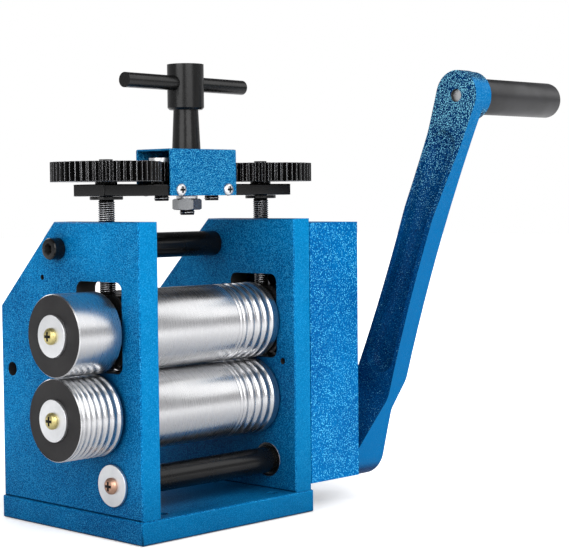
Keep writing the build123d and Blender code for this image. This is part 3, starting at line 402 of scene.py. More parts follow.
class Finish(Enum):
    """Every finish on the mill, with the record's material slot it stands for."""

    # plate paint: painted glints, a painted lit front and painted shade in corners
    PLATE_PAINT = (Paint("hammer_plate", 0.75, 0.10, 0.30, lit_front_share=0.6, corner_shade=0.9), "blue_paint")
    CASE_PAINT = (
        Paint(
            "hammer_case",
            lump_mm=1.0,
            relief_mm=0.30,
            spark=0.95,
            crown_at=0.675,
            deep=(0.0, 0.08, 0.28),
            body=(0.0, 0.21, 0.54),
            bright=(0.12, 0.64, 0.92),
        ),
        "case_paint",
    )
    # the case's paint again, darkened as painted shade, with a painted lit front and a painted highlight
    # towards the tip
    ARM_PAINT = (
        Paint(
            "hammer_arm_lit_and_shaded",
            lump_mm=0.8,
            relief_mm=0.16,
            spark=0.75,
            crown_at=0.72,
            deep=(0.0, 0.015, 0.065),
            body=(0.0, 0.070, 0.225),
            bright=(0.24, 0.66, 0.80),
            front=(0.0, 0.155, 0.41),
            lit_front_share=0.85,
            tip_highlight=0.22,
            hub_side=27.9,
        ),
        "case_paint",
    )
    BRACKET_PAINT = (
        Paint(
            "hammer_bracket",
            lump_mm=0.6,
            relief_mm=0.14,
            spark=0.70,
            crown_at=0.62,
            deep=(0.0, 0.04, 0.15),
            body=(0.0, 0.185, 0.44),
            bright=(0.12, 0.60, 0.88),
        ),
        "blue_paint",
    )
    ROLLER = (GroundSteel("ground_steel", 0.66, 0.28), "roller_steel")
    RING_FACE = (
        PlainMetal("etched_face", (0.020, 0.019, 0.019), (0.010, 0.009, 0.010), 0.50, 0.0, gloss=0.25),
        "black_steel",
    )
    BLACK = (
        PlainMetal("black_oxide", (0.005, 0.005, 0.005), (0.002, 0.002, 0.002), 0.25, 0.0, gloss=0.30),
        "black_steel",
    )
    GEAR_BLACK = (
        PlainMetal(
            "gear_black",
            colour=(0.003, 0.003, 0.003),
            shade=(0.001, 0.001, 0.001),
            roughness=0.22,
            metallic=0.0,
            relief_mm=0.005,
            gloss=0.18,
        ),
        "black_steel",
    )
    # bright bevels and crests: rubbed metal and a painted glint
    WORN = (PlainMetal("edge_wear_and_glint", (0.72, 0.73, 0.75), (0.16, 0.16, 0.17), 0.25), "black_steel")
    # near-black lining: painted shade in holes, sockets, recesses and window walls
    RECESS = (
        PlainMetal("recess_shade", (0.010, 0.010, 0.010), (0.006, 0.006, 0.006), 0.7, 0.0),
        "black_steel",
    )
    ZINC = (PlainMetal("bright_zinc", (0.84, 0.85, 0.86), (0.66, 0.67, 0.68), 0.38), "zinc")
    NUT_ZINC = (PlainMetal("dull_zinc", (0.42, 0.43, 0.44), (0.20, 0.21, 0.22), 0.22), "zinc")
    YELLOW_ZINC = (PlainMetal("yellow_zinc", (0.66, 0.58, 0.27), (0.50, 0.42, 0.17), 0.36), "zinc")
    COPPERED = (PlainMetal("coppered_steel", (0.62, 0.38, 0.27), (0.44, 0.25, 0.17), 0.36), "copper_tint")
    OILED = (GroundSteel("oiled_steel", 0.50, 0.30, 0.1), "bright_steel")
    BRONZE = (PlainMetal("bearing_bronze", (0.50, 0.33, 0.16), (0.36, 0.22, 0.10), 0.36), "bronze")
    PLASTIC = (MouldedPlastic(), "black_plastic")

    @property
    def slot(self) -> str:
        """The record's material slot."""
        return self.value[1]

    def material(self) -> bpy.types.Material:
        """Give the finish's one material, built the first time it is asked for."""
        recipe = self.value[0]
        return bpy.data.materials.get(recipe.name) or recipe.material()


# ------------------------------------------------------------------------- shape tools
@dataclass(frozen=True)
class Site:
    """A CAD node's box at rest, in millimetres."""

    low: Vector
    high: Vector

    @classmethod
    def of(cls, node: str) -> "Site":
        """Read a node's box.

        Args:
            node: The CAD node's name.

        Returns:
            Its box.
        """
        low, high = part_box(node)
        return cls(low / MM, high / MM)

    @property
    def middle(self) -> Vector:
        """The box's centre."""
        return (self.low + self.high) / 2


def upright(x: float, y: float, z: float = 0.0) -> Matrix:
    """Put a piece's local Z axis upright at a place."""
    return Matrix.Translation((x, y, z))


def towards_x(y: float, z: float, x: float = 0.0, sign: int = 1) -> Matrix:
    """Point a piece's local Z axis along X.

    Args:
        y: Place of the axis.
        z: Place of the axis.
        x: Place of the local origin along it.
        sign: 1 for +X, -1 for -X.

    Returns:
        The placing matrix, in millimetres.
    """
    return Matrix.Translation((x, y, z)) @ Matrix.Rotation(sign * math.pi / 2, 4, "Y")


def towards_y(x: float, y: float, z: float, sign: int) -> Matrix:
    """Point a piece's local Z axis along Y.

    Args:
        x: Place of the local origin.
        y: Place of the local origin.
        z: Place of the local origin.
        sign: 1 for +Y, -1 for -Y.

    Returns:
        The placing matrix, in millimetres.
    """
    return Matrix.Translation((x, y, z)) @ Matrix.Rotation(-sign * math.pi / 2, 4, "X")


def stand(name: str, data: bpy.types.ID) -> Piece:
    """Make an object and put it in the scene.

    Args:
        name: The object's name.
        data: Its mesh, lamp or camera.

    Returns:
        The object.
    """
    made = bpy.data.objects.new(name, data)
    bpy.context.scene.collection.objects.link(made)
    return made


def solid(
    name: str,
    verts: Iterable[Sequence[float]],
    faces: Sequence[Sequence[int]],
    place: Matrix,
) -> Piece:
    """Make an object from points in millimetres, with its place in its mesh.

    Args:
        name: The piece's name.
        verts: Its points on local axes.
        faces: Point numbers of each face.
        place: Where the local axes lie in the row's frame.

    Returns:
        The new object, smooth but for edges past SHARP_DEG.
    """
    mesh = bpy.data.meshes.new(name)
    mesh.from_pydata([(place @ Vector(v)) * MM for v in verts], [], faces)
    form = bmesh.new()
    form.from_mesh(mesh)
    bmesh.ops.recalc_face_normals(form, faces=form.faces)
    form.to_mesh(mesh)
    form.free()
    mesh.shade_smooth()
    mesh.set_sharp_from_angle(angle=math.radians(SHARP_DEG))
    return stand(name, mesh)


def lathe(name: str, profile: Profile, place: Matrix, around: int = 72, closed: bool = False) -> Piece:
    """Turn a profile about the local Z axis.

    Args:
        name: The piece's name.
        profile: Height and radius of each point. A radius of 0 is a pole.
        place: Where the local axes lie.
        around: How many points make a ring.
        closed: Whether the last point joins the first, as on a ring with a bore.

    Returns:
        The turned piece.
    """
    verts: list[tuple[float, float, float]] = []
    rings: list[list[int]] = []
    for height, radius in profile:
        count = around if radius else 1
        rings.append([len(verts) + i for i in range(count)])
        for i in range(count):
            angle = 2 * math.pi * i / around
            verts.append((radius * math.cos(angle), radius * math.sin(angle), height))
    pairs = list(zip(rings, rings[1:])) + ([(rings[-1], rings[0])] if closed else [])
    faces: list[list[int]] = []
    for lower, upper in pairs:
        for i in range(around):
            corners = [lower[i % len(lower)], lower[(i + 1) % len(lower)]]
            corners += [upper[(i + 1) % len(upper)], upper[i % len(upper)]]
            face = list(dict.fromkeys(corners))
            if len(face) > 2:
                faces.append(face)
    return solid(name, verts, faces, place)


def hollow(low: float, high: float, radius: float, depth: float, steps: int = 8) -> Profile:
    """Points of a round-bottomed groove between two heights.

    Args:
        low: Where the groove starts.
        high: Where it ends.
        radius: Radius of the surface that it is cut in.
        depth: Its depth.
        steps: How many chords make its arc.

    Returns:
        The groove's points, both edges among them.
    """
    half = (high - low) / 2
    curve = (half**2 + depth**2) / (2 * depth)
    reach = math.asin(half / curve)
    points = []
    for i in range(steps + 1):
        angle = reach * (2 * i / steps - 1)
        points.append((low + half + curve * math.sin(angle), radius - depth + curve * (1 - math.cos(angle))))
    return points


def groove_row(
    start: float, pitches: Iterable[float], depths: Iterable[float], land: float, radius: float
) -> Profile:
    """Points of a row of grooves.

    Args:
        start: Where the row starts.
        pitches: Width of each groove with its land.
        depths: Depth of each groove.
        land: Width of the land between two grooves.
        radius: Radius of the surface that they are cut in.

    Returns:
        The points of all grooves.
    """
    points: Profile = []
    for pitch, depth in zip(pitches, depths):
        points += hollow(start + land / 2, start + pitch - land / 2, radius, depth)
        start += pitch
    return points


def rounded(
    corner: tuple[float, float],
    before: tuple[float, float],
    after: tuple[float, float],
    radius: float,
) -> Profile:
    """Round one corner of a profile.

    Args:
        corner: The corner's height and radius.
        before: Unit step from the corner back along the profile.
        after: Unit step from the corner onwards.
        radius: Radius of the rounding, for a square corner.

    Returns:
        Five points in place of the corner.
    """
    points = []
    for i in range(5):
        angle = math.pi / 2 * i / 4
        back, on = radius * (1 - math.sin(angle)), radius * (1 - math.cos(angle))
        points.append(tuple(c + b * back + a * on for c, b, a in zip(corner, before, after)))
    return points


def prism(sides: int, across: float, low: float, high: float, place: Matrix) -> Piece:
    """Regular prism for cutting sockets and making nuts.

    Args:
        sides: How many sides.
        across: Distance across flats.
        low: Lower height.
        high: Upper height.
        place: Where the local axes lie.

    Returns:
        The prism.
    """
    corner = across / 2 / math.cos(math.pi / sides)
    return lathe("prism", [(low, 0.0), (low, corner), (high, corner), (high, 0.0)], place, sides)


def blade(wide: float, thick: float, low: float, high: float, place: Matrix) -> Piece:
    """Tapered blade of a cross-head driver, for cutting screw heads.

    Args:
        wide: Width at the top.
        thick: Thickness.
        low: Height of the narrow end.
        high: Height of the wide end.
        place: Where the local axes lie.

    Returns:
        The blade.
    """
    verts = []
    for height, share in ((low, 0.35), (high, 1.0)):
        x, y = wide / 2 * share, thick / 2 * (0.6 + 0.4 * share)
        verts += [(-x, -y, height), (x, -y, height), (x, y, height), (-x, y, height)]
    faces = [(0, 1, 2, 3), (4, 5, 6, 7), (0, 1, 5, 4), (1, 2, 6, 5), (2, 3, 7, 6), (3, 0, 4, 7)]
    return solid("blade", verts, faces, place)


def carve(piece: Piece, cutters: Sequence[Piece], outside: Finish, lining: Finish) -> Piece:
    """Cut shapes out of a piece and delete them.

    Args:
        piece: The piece to cut.
        cutters: The shapes to take away.
        outside: The piece's finish.
        lining: The finish of the cuts.

    Returns:
        The cut piece.
    """
    piece.data.materials.append(outside.material())
    for cutter in cutters:
        cutter.data.materials.append(lining.material())
        cut = piece.modifiers.new("cut", "BOOLEAN")
        cut.operation = "DIFFERENCE"
        cut.solver = "EXACT"
        cut.material_mode = "TRANSFER"
        cut.object = cutter
    graph = bpy.context.evaluated_depsgraph_get()
    mesh = bpy.data.meshes.new_from_object(piece.evaluated_get(graph))
    piece.modifiers.clear()
    piece.data = mesh
    mesh.shade_smooth()
    mesh.set_sharp_from_angle(angle=math.radians(SHARP_DEG))
    for cutter in cutters:
        bpy.data.objects.remove(cutter)
    return piece


def thread(name: str, low: float, high: float, radius: float, pitch: float, place: Matrix) -> Piece:
    """Threaded bar with a real helix.

    Args:
        name: The piece's name.
        low: Height of its lower end.
        high: Height of its upper end.
        radius: Outer radius.
        pitch: Distance between crests.
        place: Where the local axes lie.

    Returns:
        The bar.
    """
    around, per_turn, depth = 32, 8, 0.54 * pitch
    rows = max(2, round((high - low) / pitch * per_turn))
    verts: list[tuple[float, float, float]] = [(0.0, 0.0, low)]
    for row in range(rows + 1):
        height = low + (high - low) * row / rows
        end = min(row, rows - row) / per_turn
        for i in range(around):
            phase = (height / pitch - i / around) % 1.0
            dip = min(1.0, max(0.0, 1.25 - 2.5 * abs(phase - 0.5)))
            reach = radius - depth * (1 - dip)
            reach = min(reach, radius - depth * max(0.0, 1 - end))
            angle = 2 * math.pi * i / around
            verts.append((reach * math.cos(angle), reach * math.sin(angle), height))
    verts.append((0.0, 0.0, high))
    faces: list[tuple[int, ...]] = []
    for row in range(rows):
        start = 1 + row * around
        for i in range(around):
            j = (i + 1) % around
            faces.append((start + i, start + j, start + around + j, start + around + i))
    last = 1 + rows * around
    for i in range(around):
        j = (i + 1) % around
        faces.append((0, 1 + j, 1 + i))
        faces.append((last + i, last + j, len(verts) - 1))
    return solid(name, verts, faces, place)


# ---------------------------------------------------------------------------- dressing
def dress(
    node: str,
    finish: Finish,
    edge_mm: float = 0.0,
    segments: int = 2,
    wear_and_glint: Finish | None = None,
) -> None:
    """Give a CAD node its finish, and break its edges if asked.

    Args:
        node: The CAD node's name.
        finish: Its finish.
        edge_mm: Width of the broken edges, or 0 for none.
        segments: How many facets round an edge.
        wear_and_glint: The finish of the broken edges, where it differs: rubbed metal and a painted glint.
    """
    shown = bpy.data.objects[node]
    shown.data.materials.clear()
    shown.data.materials.append(finish.material())
    if wear_and_glint:
        shown.data.materials.append(wear_and_glint.material())
    if edge_mm:
        weld = shown.modifiers.new("weld", "WELD")
        weld.merge_threshold = WELD_M
        bevel = shown.modifiers.new("edges", "BEVEL")
        bevel.width = edge_mm * MM
        bevel.segments = segments
        bevel.limit_method = "ANGLE"
        bevel.angle_limit = math.radians(BEVEL_FROM_DEG)
        bevel.material = 1 if wear_and_glint else -1
        shown.modifiers.new("normals", "WEIGHTED_NORMAL")
    LOG.info("dressed %s in %s", node, finish.name.lower())


def line_openings(node: str, finish: Finish, margin: float = 1.5) -> None:
    """Line the walls of a plate's windows and holes near-black: bare steel, darkened as painted shade.

    Args:
        node: The plate's node. Its faces look along X.
        finish: What the walls show.
        margin: How far inside the plate's outline a wall starts to count.
    """
    shown = bpy.data.objects[node]
    points = [(shown.matrix_world @ v.co).yz / MM for v in shown.data.vertices]
    rim = [points[i] for i in convex_hull_2d(points)]
    sides = list(zip(rim, rim[1:] + rim[:1]))

    def inside(face: bpy.types.MeshPolygon) -> bool:
        """Tell whether a face belongs to an opening."""
        at = (shown.matrix_world @ face.center).yz / MM
        gap = min(
            (at - start).dot((end - start).orthogonal().normalized()) for start, end in sides if end != start
        )
        return abs(face.normal.x) < 0.5 and abs(gap) > margin

    recoat(shown, finish, inside)


def fit(piece: Piece, body: str, finish: Finish, replaces: Sequence[str] = ()) -> Piece:
    """Finish a new piece and set it on its body.

    Args:
        piece: The piece, in place.
        body: The CAD body that it moves with.
        finish: Its finish.
        replaces: CAD nodes that it stands for.

    Returns:
        The piece.
    """
    if not piece.data.materials:
        piece.data.materials.append(finish.material())
    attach(piece, body)
    if replaces:
        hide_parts(*replaces)
    LOG.info("made %s on %s, %d faces", piece.name, body, len(piece.data.polygons))
    return piece


def recoat(piece: Piece, finish: Finish, chosen: Callable[[bpy.types.MeshPolygon], bool]) -> None:
    """Give some of a piece's faces a second finish.

    Args:
        piece: The piece.
        finish: The second finish.
        chosen: Says whether a face gets it.
    """
    piece.data.materials.append(finish.material())
    for face in piece.data.polygons:
        if chosen(face):
            face.material_index = len(piece.data.materials) - 1


class Drive(Enum):
    """How a screw's head is turned."""

    CROSS = "cross"
    HEX = "hex"


@dataclass(frozen=True)
class ScrewHead:
    """Head of a small screw, with its underside at the local origin and its top up."""

    dia: float
    high: float
    drive: Drive
    crown: float = 0.5
    shank_dia: float = 4.0
    shank: float = 3.0

    def make(self, name: str, place: Matrix, body: str, finish: Finish) -> Piece:
        """Turn the head, cut its recess and fit it.

        Args:
            name: The piece's name.
            place: Where the head's seat lies.
            body: The body that it moves with.
            finish: Its finish.

        Returns:
            The screw.
        """
        radius, rim = self.dia / 2, self.high * (1 - self.crown)
        profile: Profile = [(-self.shank, 0.0), (-self.shank, self.shank_dia / 2), (0.0, self.shank_dia / 2)]
        profile += [(0.0, radius * 0.97), (rim * 0.25, radius), (rim, radius)]
        for i in range(1, 6):
            angle = i / 5 * math.pi / 2
            profile.append((rim + (self.high - rim) * math.sin(angle), radius * math.cos(angle * DOME)))
        profile.append((self.high, 0.0))
        head = lathe(name, profile, place, 48)
        if self.drive is Drive.HEX:
            cutters = [prism(6, self.dia * 0.5, self.high * 0.35, self.high + 1, place)]
        else:
            turn = place @ Matrix.Rotation(math.pi / 2, 4, "Z")
            wide, thick, low = self.dia * 0.60, self.dia * 0.17, self.high * 0.15
            cutters = [blade(wide, thick, low, self.high + 0.2, at) for at in (place, turn)]
        # the drive recess is lined near-black as painted shade
        return fit(carve(head, cutters, finish, Finish.RECESS), body, finish)


def end_screw(which: str, sign: int, body: str, finish: Finish) -> None:
    """Put the cross-head screw in a shaft's end washer.

    Args:
        which: What the washer's and the screw's names start with.
        sign: 1 for an end on +X, -1 for an end on -X.
        body: The body that it moves with.
        finish: Its finish.
    """
    site = Site.of(f"{which}_end_washer")
    place = towards_x(site.middle.y, site.middle.z, site.high.x if sign > 0 else site.low.x, sign)
    ScrewHead(9.8, 2.8, Drive.CROSS, crown=0.75, shank_dia=5.0).make(f"{which}_end_screw", place, body, finish)


# ------------------------------------------------------------------------ sub-assemblies
@dataclass
class Housing:
    """Base, side plates, tie rod and gear case."""

    edge: float = 0.35
    cap_dia: float = 13.0
    cap_high: float = 8.0
    socket: float = 6.5
    case_head: float = 8.0
    base_head: float = 10.5
    post_y: tuple[float, float] = (-60.5, 60.5)
    post_z: tuple[float, float, float] = (24.0, 176.3, 129.5)
    base_screw_y: tuple[float, float, float] = (-56.5, 0.0, 56.5)

    def build(self) -> None:
        """Dress the housing and put in its screws."""
        for node in ("base_plate", "left_side_plate", "right_side_plate"):
            dress(node, Finish.PLATE_PAINT, self.edge)
        for node in ("left_side_plate", "right_side_plate"):
            # window and hole walls: bare steel, near-black as painted shade
            line_openings(node, Finish.RECESS)
        dress("gear_case", Finish.CASE_PAINT, self.edge)
        dress("tie_rod", Finish.BLACK)
        for node in ("lower_bushes", "case_bush"):
            dress(node, Finish.BRONZE)
        # bright bevelled rims: bare machined metal and a painted glint
        dress("shaft_bushes", Finish.BLACK, 0.3, 1, Finish.WORN)
        self._tie_screws()
        self._case_screws()
        self._base_screws()
        self._springs()

    def _tie_screws(self) -> None:
        """Cap screws in both ends of the tie rod, as one piece that replaces the plain ones."""
        site = Site.of("tie_rod_screws")
        y, z = site.middle.y, site.middle.z
        for sign, x, name in ((-1, site.low.x, "left"), (1, site.high.x, "right")):
            radius, high = self.cap_dia / 2, self.cap_high
            seat = towards_x(y, z, x - sign * high, sign)
            profile: Profile = [(-3.0, 0.0), (-3.0, 4.0), (0.0, 4.0), (0.0, radius - 0.4), (0.4, radius)]
            profile += [(high - 0.9, radius), (high - 0.2, radius - 0.5), (high, radius - 1.1), (high, 0.0)]
            head = lathe(f"tie_cap_{name}", profile, seat, 60)
            # the hex socket is lined near-black as painted shade
            carve(head, [prism(6, self.socket, high * 0.4, high + 1, seat)], Finish.BLACK, Finish.RECESS)
            fit(head, "frame", Finish.BLACK, ("tie_rod_screws",))

    def _case_screws(self) -> None:
        """Flush socket screws in the gear case's outer face."""
        face = Site.of("gear_case").high.x
        head = ScrewHead(self.case_head, 0.8, Drive.HEX, crown=0.2)
        low, top, knee = self.post_z
        front, back = self.post_y
        for number, (y, z) in enumerate(((front, low), (front, top), (back, low), (back, knee))):
            head.make(f"case_screw_{number}", towards_x(y, z, face - 0.2), "frame", Finish.BLACK)

    def _base_screws(self) -> None:
        """Screws that would join base and plates. They lie inside the base and never show."""
        head = ScrewHead(self.base_head, 0.9, Drive.HEX, crown=0.2)
        down = Matrix.Rotation(math.pi, 4, "X")
        for side in ("left", "right"):
            x = Site.of(f"{side}_side_plate").middle.x
            for number, y in enumerate(self.base_screw_y):
                place = upright(x, y, 0.95) @ down
                head.make(f"base_screw_{side}_{number}", place, "frame", Finish.BLACK)

    def _springs(self) -> None:
        """Coiled springs under the bearing blocks. In every pose they keep their length at rest."""
        site = Site.of("lift_springs")
        wire, coils, steps, sides = 0.6, 6, 20, 8
        radius = 4.0 - wire
        y = site.middle.y
        for name in ("left", "right"):
            x = Site.of(f"{name}_side_plate").middle.x
            rows = coils * steps
            verts: list[tuple[float, float, float]] = []
            for row in range(rows + 1):
                angle = 2 * math.pi * row / steps
                height = site.low.z + wire + (site.high.z - site.low.z - 2 * wire) * row / rows
                for i in range(sides):
                    turn = 2 * math.pi * i / sides
                    reach = radius + wire * math.cos(turn)
                    up = height + wire * math.sin(turn)
                    verts.append((reach * math.cos(angle), reach * math.sin(angle), up))
            faces = []
            for row in range(rows):
                for i in range(sides):
                    a, b = row * sides + i, row * sides + (i + 1) % sides
                    faces.append((a, b, b + sides, a + sides))
            faces.append(tuple(range(sides)))
            faces.append(tuple(rows * sides + i for i in range(sides)))
            coil = solid(f"{name}_spring_coil", verts, faces, upright(x, y))
            fit(coil, "frame", Finish.ZINC, ("lift_springs",))


@dataclass
class RollerSet:
    """Both main rollers, turned with their grooves, and what is keyed to them."""

    radius: float = 24.0
    body_end: float = 55.25
    journal: float = 12.0
    seat: float = 9.0
    gear_side: float = 74.25
    land: float = 0.7
    first_groove: float = 20.0
    pitches: tuple[float, ...] = (2.9, 2.9, 6.1, 6.1, 6.1, 6.1)
    depths: tuple[float, ...] = (0.6, 0.6, 1.0, 1.0, 1.0, 1.0)
    washer_edge: float = 0.25

    def build(self) -> None:
        """Turn the rollers and dress their gears, keys and rings."""
        for which in ("upper", "lower"):
            self._roller(which)
            dress(f"{which}_sync_gear", Finish.OILED, 0.3, 1)
            dress(f"{which}_roller_keys", Finish.OILED)
            dress(f"{which}_circlip", Finish.BLACK)
            dress(f"{which}_end_washer", Finish.ZINC, self.washer_edge)
            end_screw(which, -1, f"{which}_roller", Finish.YELLOW_ZINC)
        dress("reduction_gear", Finish.OILED, 0.3, 1)
        for side in ("left", "right"):
            dress(f"{side}_bearing_block", Finish.BLACK, 0.5)
        dress("upper_bushes", Finish.BRONZE)

    def _roller(self, which: str) -> None:
        """Turn one roller.

        Args:
            which: "upper" or "lower".
        """
        node = f"{which}_roller"
        site = Site.of(node)
        profile: Profile = [(site.low.x, 0.0), (site.low.x, self.seat - 0.6), (site.low.x + 0.6, self.seat)]
        collar = Site.of(f"{which}_side_roller").high.x
        profile += [(collar, self.seat), (collar, self.journal), (-self.body_end, self.journal)]
        end, radius = self.body_end, self.radius
        profile += [(-end + inward, radius - down) for inward, down in SHOULDER]
        profile += groove_row(self.first_groove, self.pitches, self.depths, self.land, radius)
        profile += [(end - inward, radius - down) for inward, down in reversed(SHOULDER)]
        profile += [(end, self.journal), (self.gear_side, self.journal), (self.gear_side, self.seat)]
        profile += [(site.high.x - 0.6, self.seat), (site.high.x, self.seat - 0.6), (site.high.x, 0.0)]
        piece = lathe(f"{which}_roller_turned", profile, towards_x(site.middle.y, site.middle.z), 128)
        fit(piece, node, Finish.ROLLER, (node,))


@dataclass
class SideRings:
    """The plain and the grooved ring outside the left plate."""

    radius: float = 24.0
    bore: float = 9.03
    edge: float = 0.5
    inset: float = 0.6
    first_pitch: float = 2.9
    step: float = 0.4
    grooves: int = 7
    land: float = 0.5
    depth: float = 1.0

    def build(self) -> None:
        """Turn both rings."""
        for which in ("upper", "lower"):
            node = f"{which}_side_roller"
            site = Site.of(node)
            low, high = site.low.x, site.high.x
            radius, edge = self.radius, self.edge
            profile: Profile = [(low, self.bore), (low, radius - edge), (low + edge, radius)]
            if which == "lower":
                pitches = [self.first_pitch + number * self.step for number in range(self.grooves)]
                depths = [self.depth] * self.grooves
                profile += groove_row(low + self.inset, pitches, depths, self.land, radius)
            profile += [(high - edge, radius), (high, radius - edge), (high, self.bore)]
            piece = lathe(f"{which}_ring_turned", profile, towards_x(site.middle.y, site.middle.z), 128, True)
            fit(piece, f"{which}_roller", Finish.ROLLER, (node,))
            recoat(piece, Finish.RING_FACE, lambda face: abs(face.normal.x) > 0.95)


@dataclass
class CrankDrive:
    """Drive shaft, crank arm and grip."""

    arm_edge: float = 1.1
    grip_round: float = 6.0
    grip_bore: float = 4.05
    recess: float = 7.5
    recess_deep: float = 9.0
    hole_reach: float = 6.5

    def build(self) -> None:
        """Dress the crank and turn its grip."""
        # the arm's paint carries painted shade, a painted lit front and a painted highlight
        dress("crank_arm", Finish.ARM_PAINT, self.arm_edge, 3)
        axis = Site.of("grip").middle.yz
        arm = bpy.data.objects["crank_arm"]

        def in_hole(face: bpy.types.MeshPolygon) -> bool:
            """Tell whether a face is a wall of the spindle's hole."""
            return (face.center.yz / MM - axis).length < self.hole_reach and abs(face.normal.x) < 0.5

        # painted shade: the spindle's hole is lined near-black
        recoat(arm, Finish.RECESS, in_hole)
        dress("drive_shaft", Finish.BLACK)
        for node in ("drive_keys", "drive_pinion", "drive_spacer"):
            dress(node, Finish.OILED)
        for node in ("shaft_end_washer", "crank_end_washer"):
            dress(node, Finish.ZINC, 0.25)
        dress("grip_spindle", Finish.ZINC, 0.4)
        end_screw("shaft", -1, "crank", Finish.COPPERED)
        end_screw("crank", 1, "crank", Finish.YELLOW_ZINC)
        self._grip()

    def _grip(self) -> None:
        """Turn the grip: a straight sleeve with a rounded end and a recess for the spindle."""
        site = Site.of("grip")
        radius, low, high = (site.high.z - site.low.z) / 2, site.low.x, site.high.x
        profile: Profile = [(low, self.grip_bore), (low, radius - 1.2), (low + 0.4, radius - 0.4)]
        profile += [(low + 1.2, radius)]
        end_round = min(self.grip_round, radius - self.recess - 0.6)
        profile += rounded((high, radius), (-1.0, 0.0), (0.0, -1.0), end_round)
        profile += [(high, self.recess + 0.5), (high - 0.5, self.recess)]
        profile += [(high - self.recess_deep, self.recess), (high - self.recess_deep, self.grip_bore)]
        piece = lathe("grip_sleeve", profile, towards_x(site.middle.y, site.middle.z), 96, True)
        fit(piece, "grip", Finish.PLASTIC, ("grip",))


@dataclass
class PressureGear:
    """Cross bar, gears, pressure screws, bracket and the handle on top."""

    thread_radius: float = 4.9
    stub_radius: float = 4.7
    stub_clear: float = 0.05
    pitch: float = 1.25
    bracket_screw_x: tuple[float, float] = (-19.3, 19.8)
    bracket_screw_z: float = 203.9
    # bevel on the teeth that shows rubbed metal and painted glints
    tooth_wear_and_glint: float = 0.08
    nut_across: float = 15.6
    nut_turn_deg: float = 12.0
    tail_radius: float = 4.02

    def build(self) -> None:
        """Dress the gear, cut the threads and put in the bracket's screws."""
        dress("cross_bar", Finish.BLACK, 0.5)
        dress("bracket", Finish.BRACKET_PAINT, 0.25)
        dress("idler_bolts", Finish.ZINC, 0.5)
        for side in ("left", "right"):
            # tooth edges: rubbed metal and painted glints
            dress(f"{side}_idler_gear", Finish.GEAR_BLACK, self.tooth_wear_and_glint, 1, Finish.WORN)
            dress(f"{side}_screw_gear", Finish.GEAR_BLACK, self.tooth_wear_and_glint, 1, Finish.WORN)
            dress(f"{side}_screw_collar", Finish.BLACK, 0.3)
            self._pressure_screw(side)
        dress("handle_pinion", Finish.GEAR_BLACK, self.tooth_wear_and_glint, 1, Finish.WORN)
        for node, edge in (("handle_spindle", 0.6), ("cross_handle", 0.5)):
            dress(node, Finish.BLACK, edge)
        dress("handle_key", Finish.OILED)
        dress("handle_washer", Finish.ZINC, 0.2)
        self._nut()
        self._bracket_screws()

    def _thread(self, name: str, body: str, span: tuple[float, float], radius: float, place: Matrix) -> None:
        """Cut a thread, black with its crests rubbed bright and carrying a painted glint.

        Args:
            name: The piece's name.
            body: The body that it moves with.
            span: Height of its lower and upper end.
            radius: Its outer radius.
            place: Where its local axes lie.
        """
        piece = fit(thread(name, *span, radius, self.pitch, place), body, Finish.BLACK)
        back = place.inverted()
        # crests: rubbed metal and a painted glint
        recoat(piece, Finish.WORN, lambda face: (back @ (face.center / MM)).xy.length > radius * CREST)

    def _pressure_screw(self, side: str) -> None:
        """Cut the thread of one pressure screw, and of the idler's stub beside it.

        Args:
            side: "left" or "right".
        """
        node = f"{side}_pressure_screw"
        site = Site.of(node)
        dress(node, Finish.BLACK)
        place = upright(site.middle.x, site.middle.y)
        top = Site.of(f"{side}_screw_collar").low.z
        self._thread(f"{side}_screw_thread", f"{side}_screw", (site.low.z, top), self.thread_radius, place)
        bar, pins = Site.of("cross_bar"), Site.of("idler_bolts")
        stub_x = Site.of(f"{side}_idler_gear").middle.x
        place = upright(stub_x, site.middle.y)
        span = (pins.low.z - self.stub_clear, bar.low.z)
        self._thread(f"{side}_idler_stub", "press_carriage", span, self.stub_radius, place)

    def _nut(self) -> None:
        """Chamfered nut on the spindle's tail, and the thread that comes through it."""
        site = Site.of("handle_nut")
        low, high, across = site.low.z, site.high.z, self.nut_across
        place = upright(site.middle.x, site.middle.y)
        corner = across / 2 / math.cos(math.pi / 6)
        turn = place @ Matrix.Rotation(math.radians(self.nut_turn_deg), 4, "Z")
        nut = prism(6, across, low, high, turn)
        nut.name = "handle_nut_turned"
        outside = self._crown(low, high, across / 2, corner, place)
        start, end, radius = low - 1, high + 1, self.tail_radius
        hole = lathe("hole", [(start, 0.0), (start, radius), (end, radius), (end, 0.0)], place, 48)
        carve(nut, [outside, hole], Finish.NUT_ZINC, Finish.NUT_ZINC)
        fit(nut, "top_handle", Finish.NUT_ZINC, ("handle_nut",))
        span = (Site.of("handle_spindle").low.z - self.stub_clear, low + 0.3)
        self._thread("spindle_tail_thread", "top_handle", span, self.stub_radius, place)

    @staticmethod
    def _crown(low: float, high: float, flat: float, corner: float, place: Matrix) -> Piece:
        """Ring that trims a nut's corners at both ends.

        Args:
            low: The nut's lower face.
            high: The nut's upper face.
            flat: Half the distance across flats.
            corner: Half the distance across corners.
            place: Where the local axes lie.

        Returns:
            The ring to take away.
        """
        rise, out = (corner - flat) * 0.6, corner + 2
        profile: Profile = [(low - 1, out), (low - 1, flat - 0.3), (low, flat - 0.1)]
        profile += [(low + rise, corner + 0.02), (high - rise, corner + 0.02)]
        profile += [(high, flat - 0.1), (high + 1, flat - 0.3), (high + 1, out)]
        return lathe("crown", profile, place, 96, True)

    def _bracket_screws(self) -> None:
        """Cross-head screws in the bracket's front and back."""
        site = Site.of("bracket")
        head = ScrewHead(7.6, 2.2, Drive.CROSS, crown=0.75)
        for name, y, sign in (("front", site.low.y, -1), ("back", site.high.y, 1)):
            for number, x in enumerate(self.bracket_screw_x):
                place = towards_y(x, y, self.bracket_screw_z, sign)
                head.make(f"bracket_screw_{name}_{number}", place, "press_carriage", Finish.ZINC)


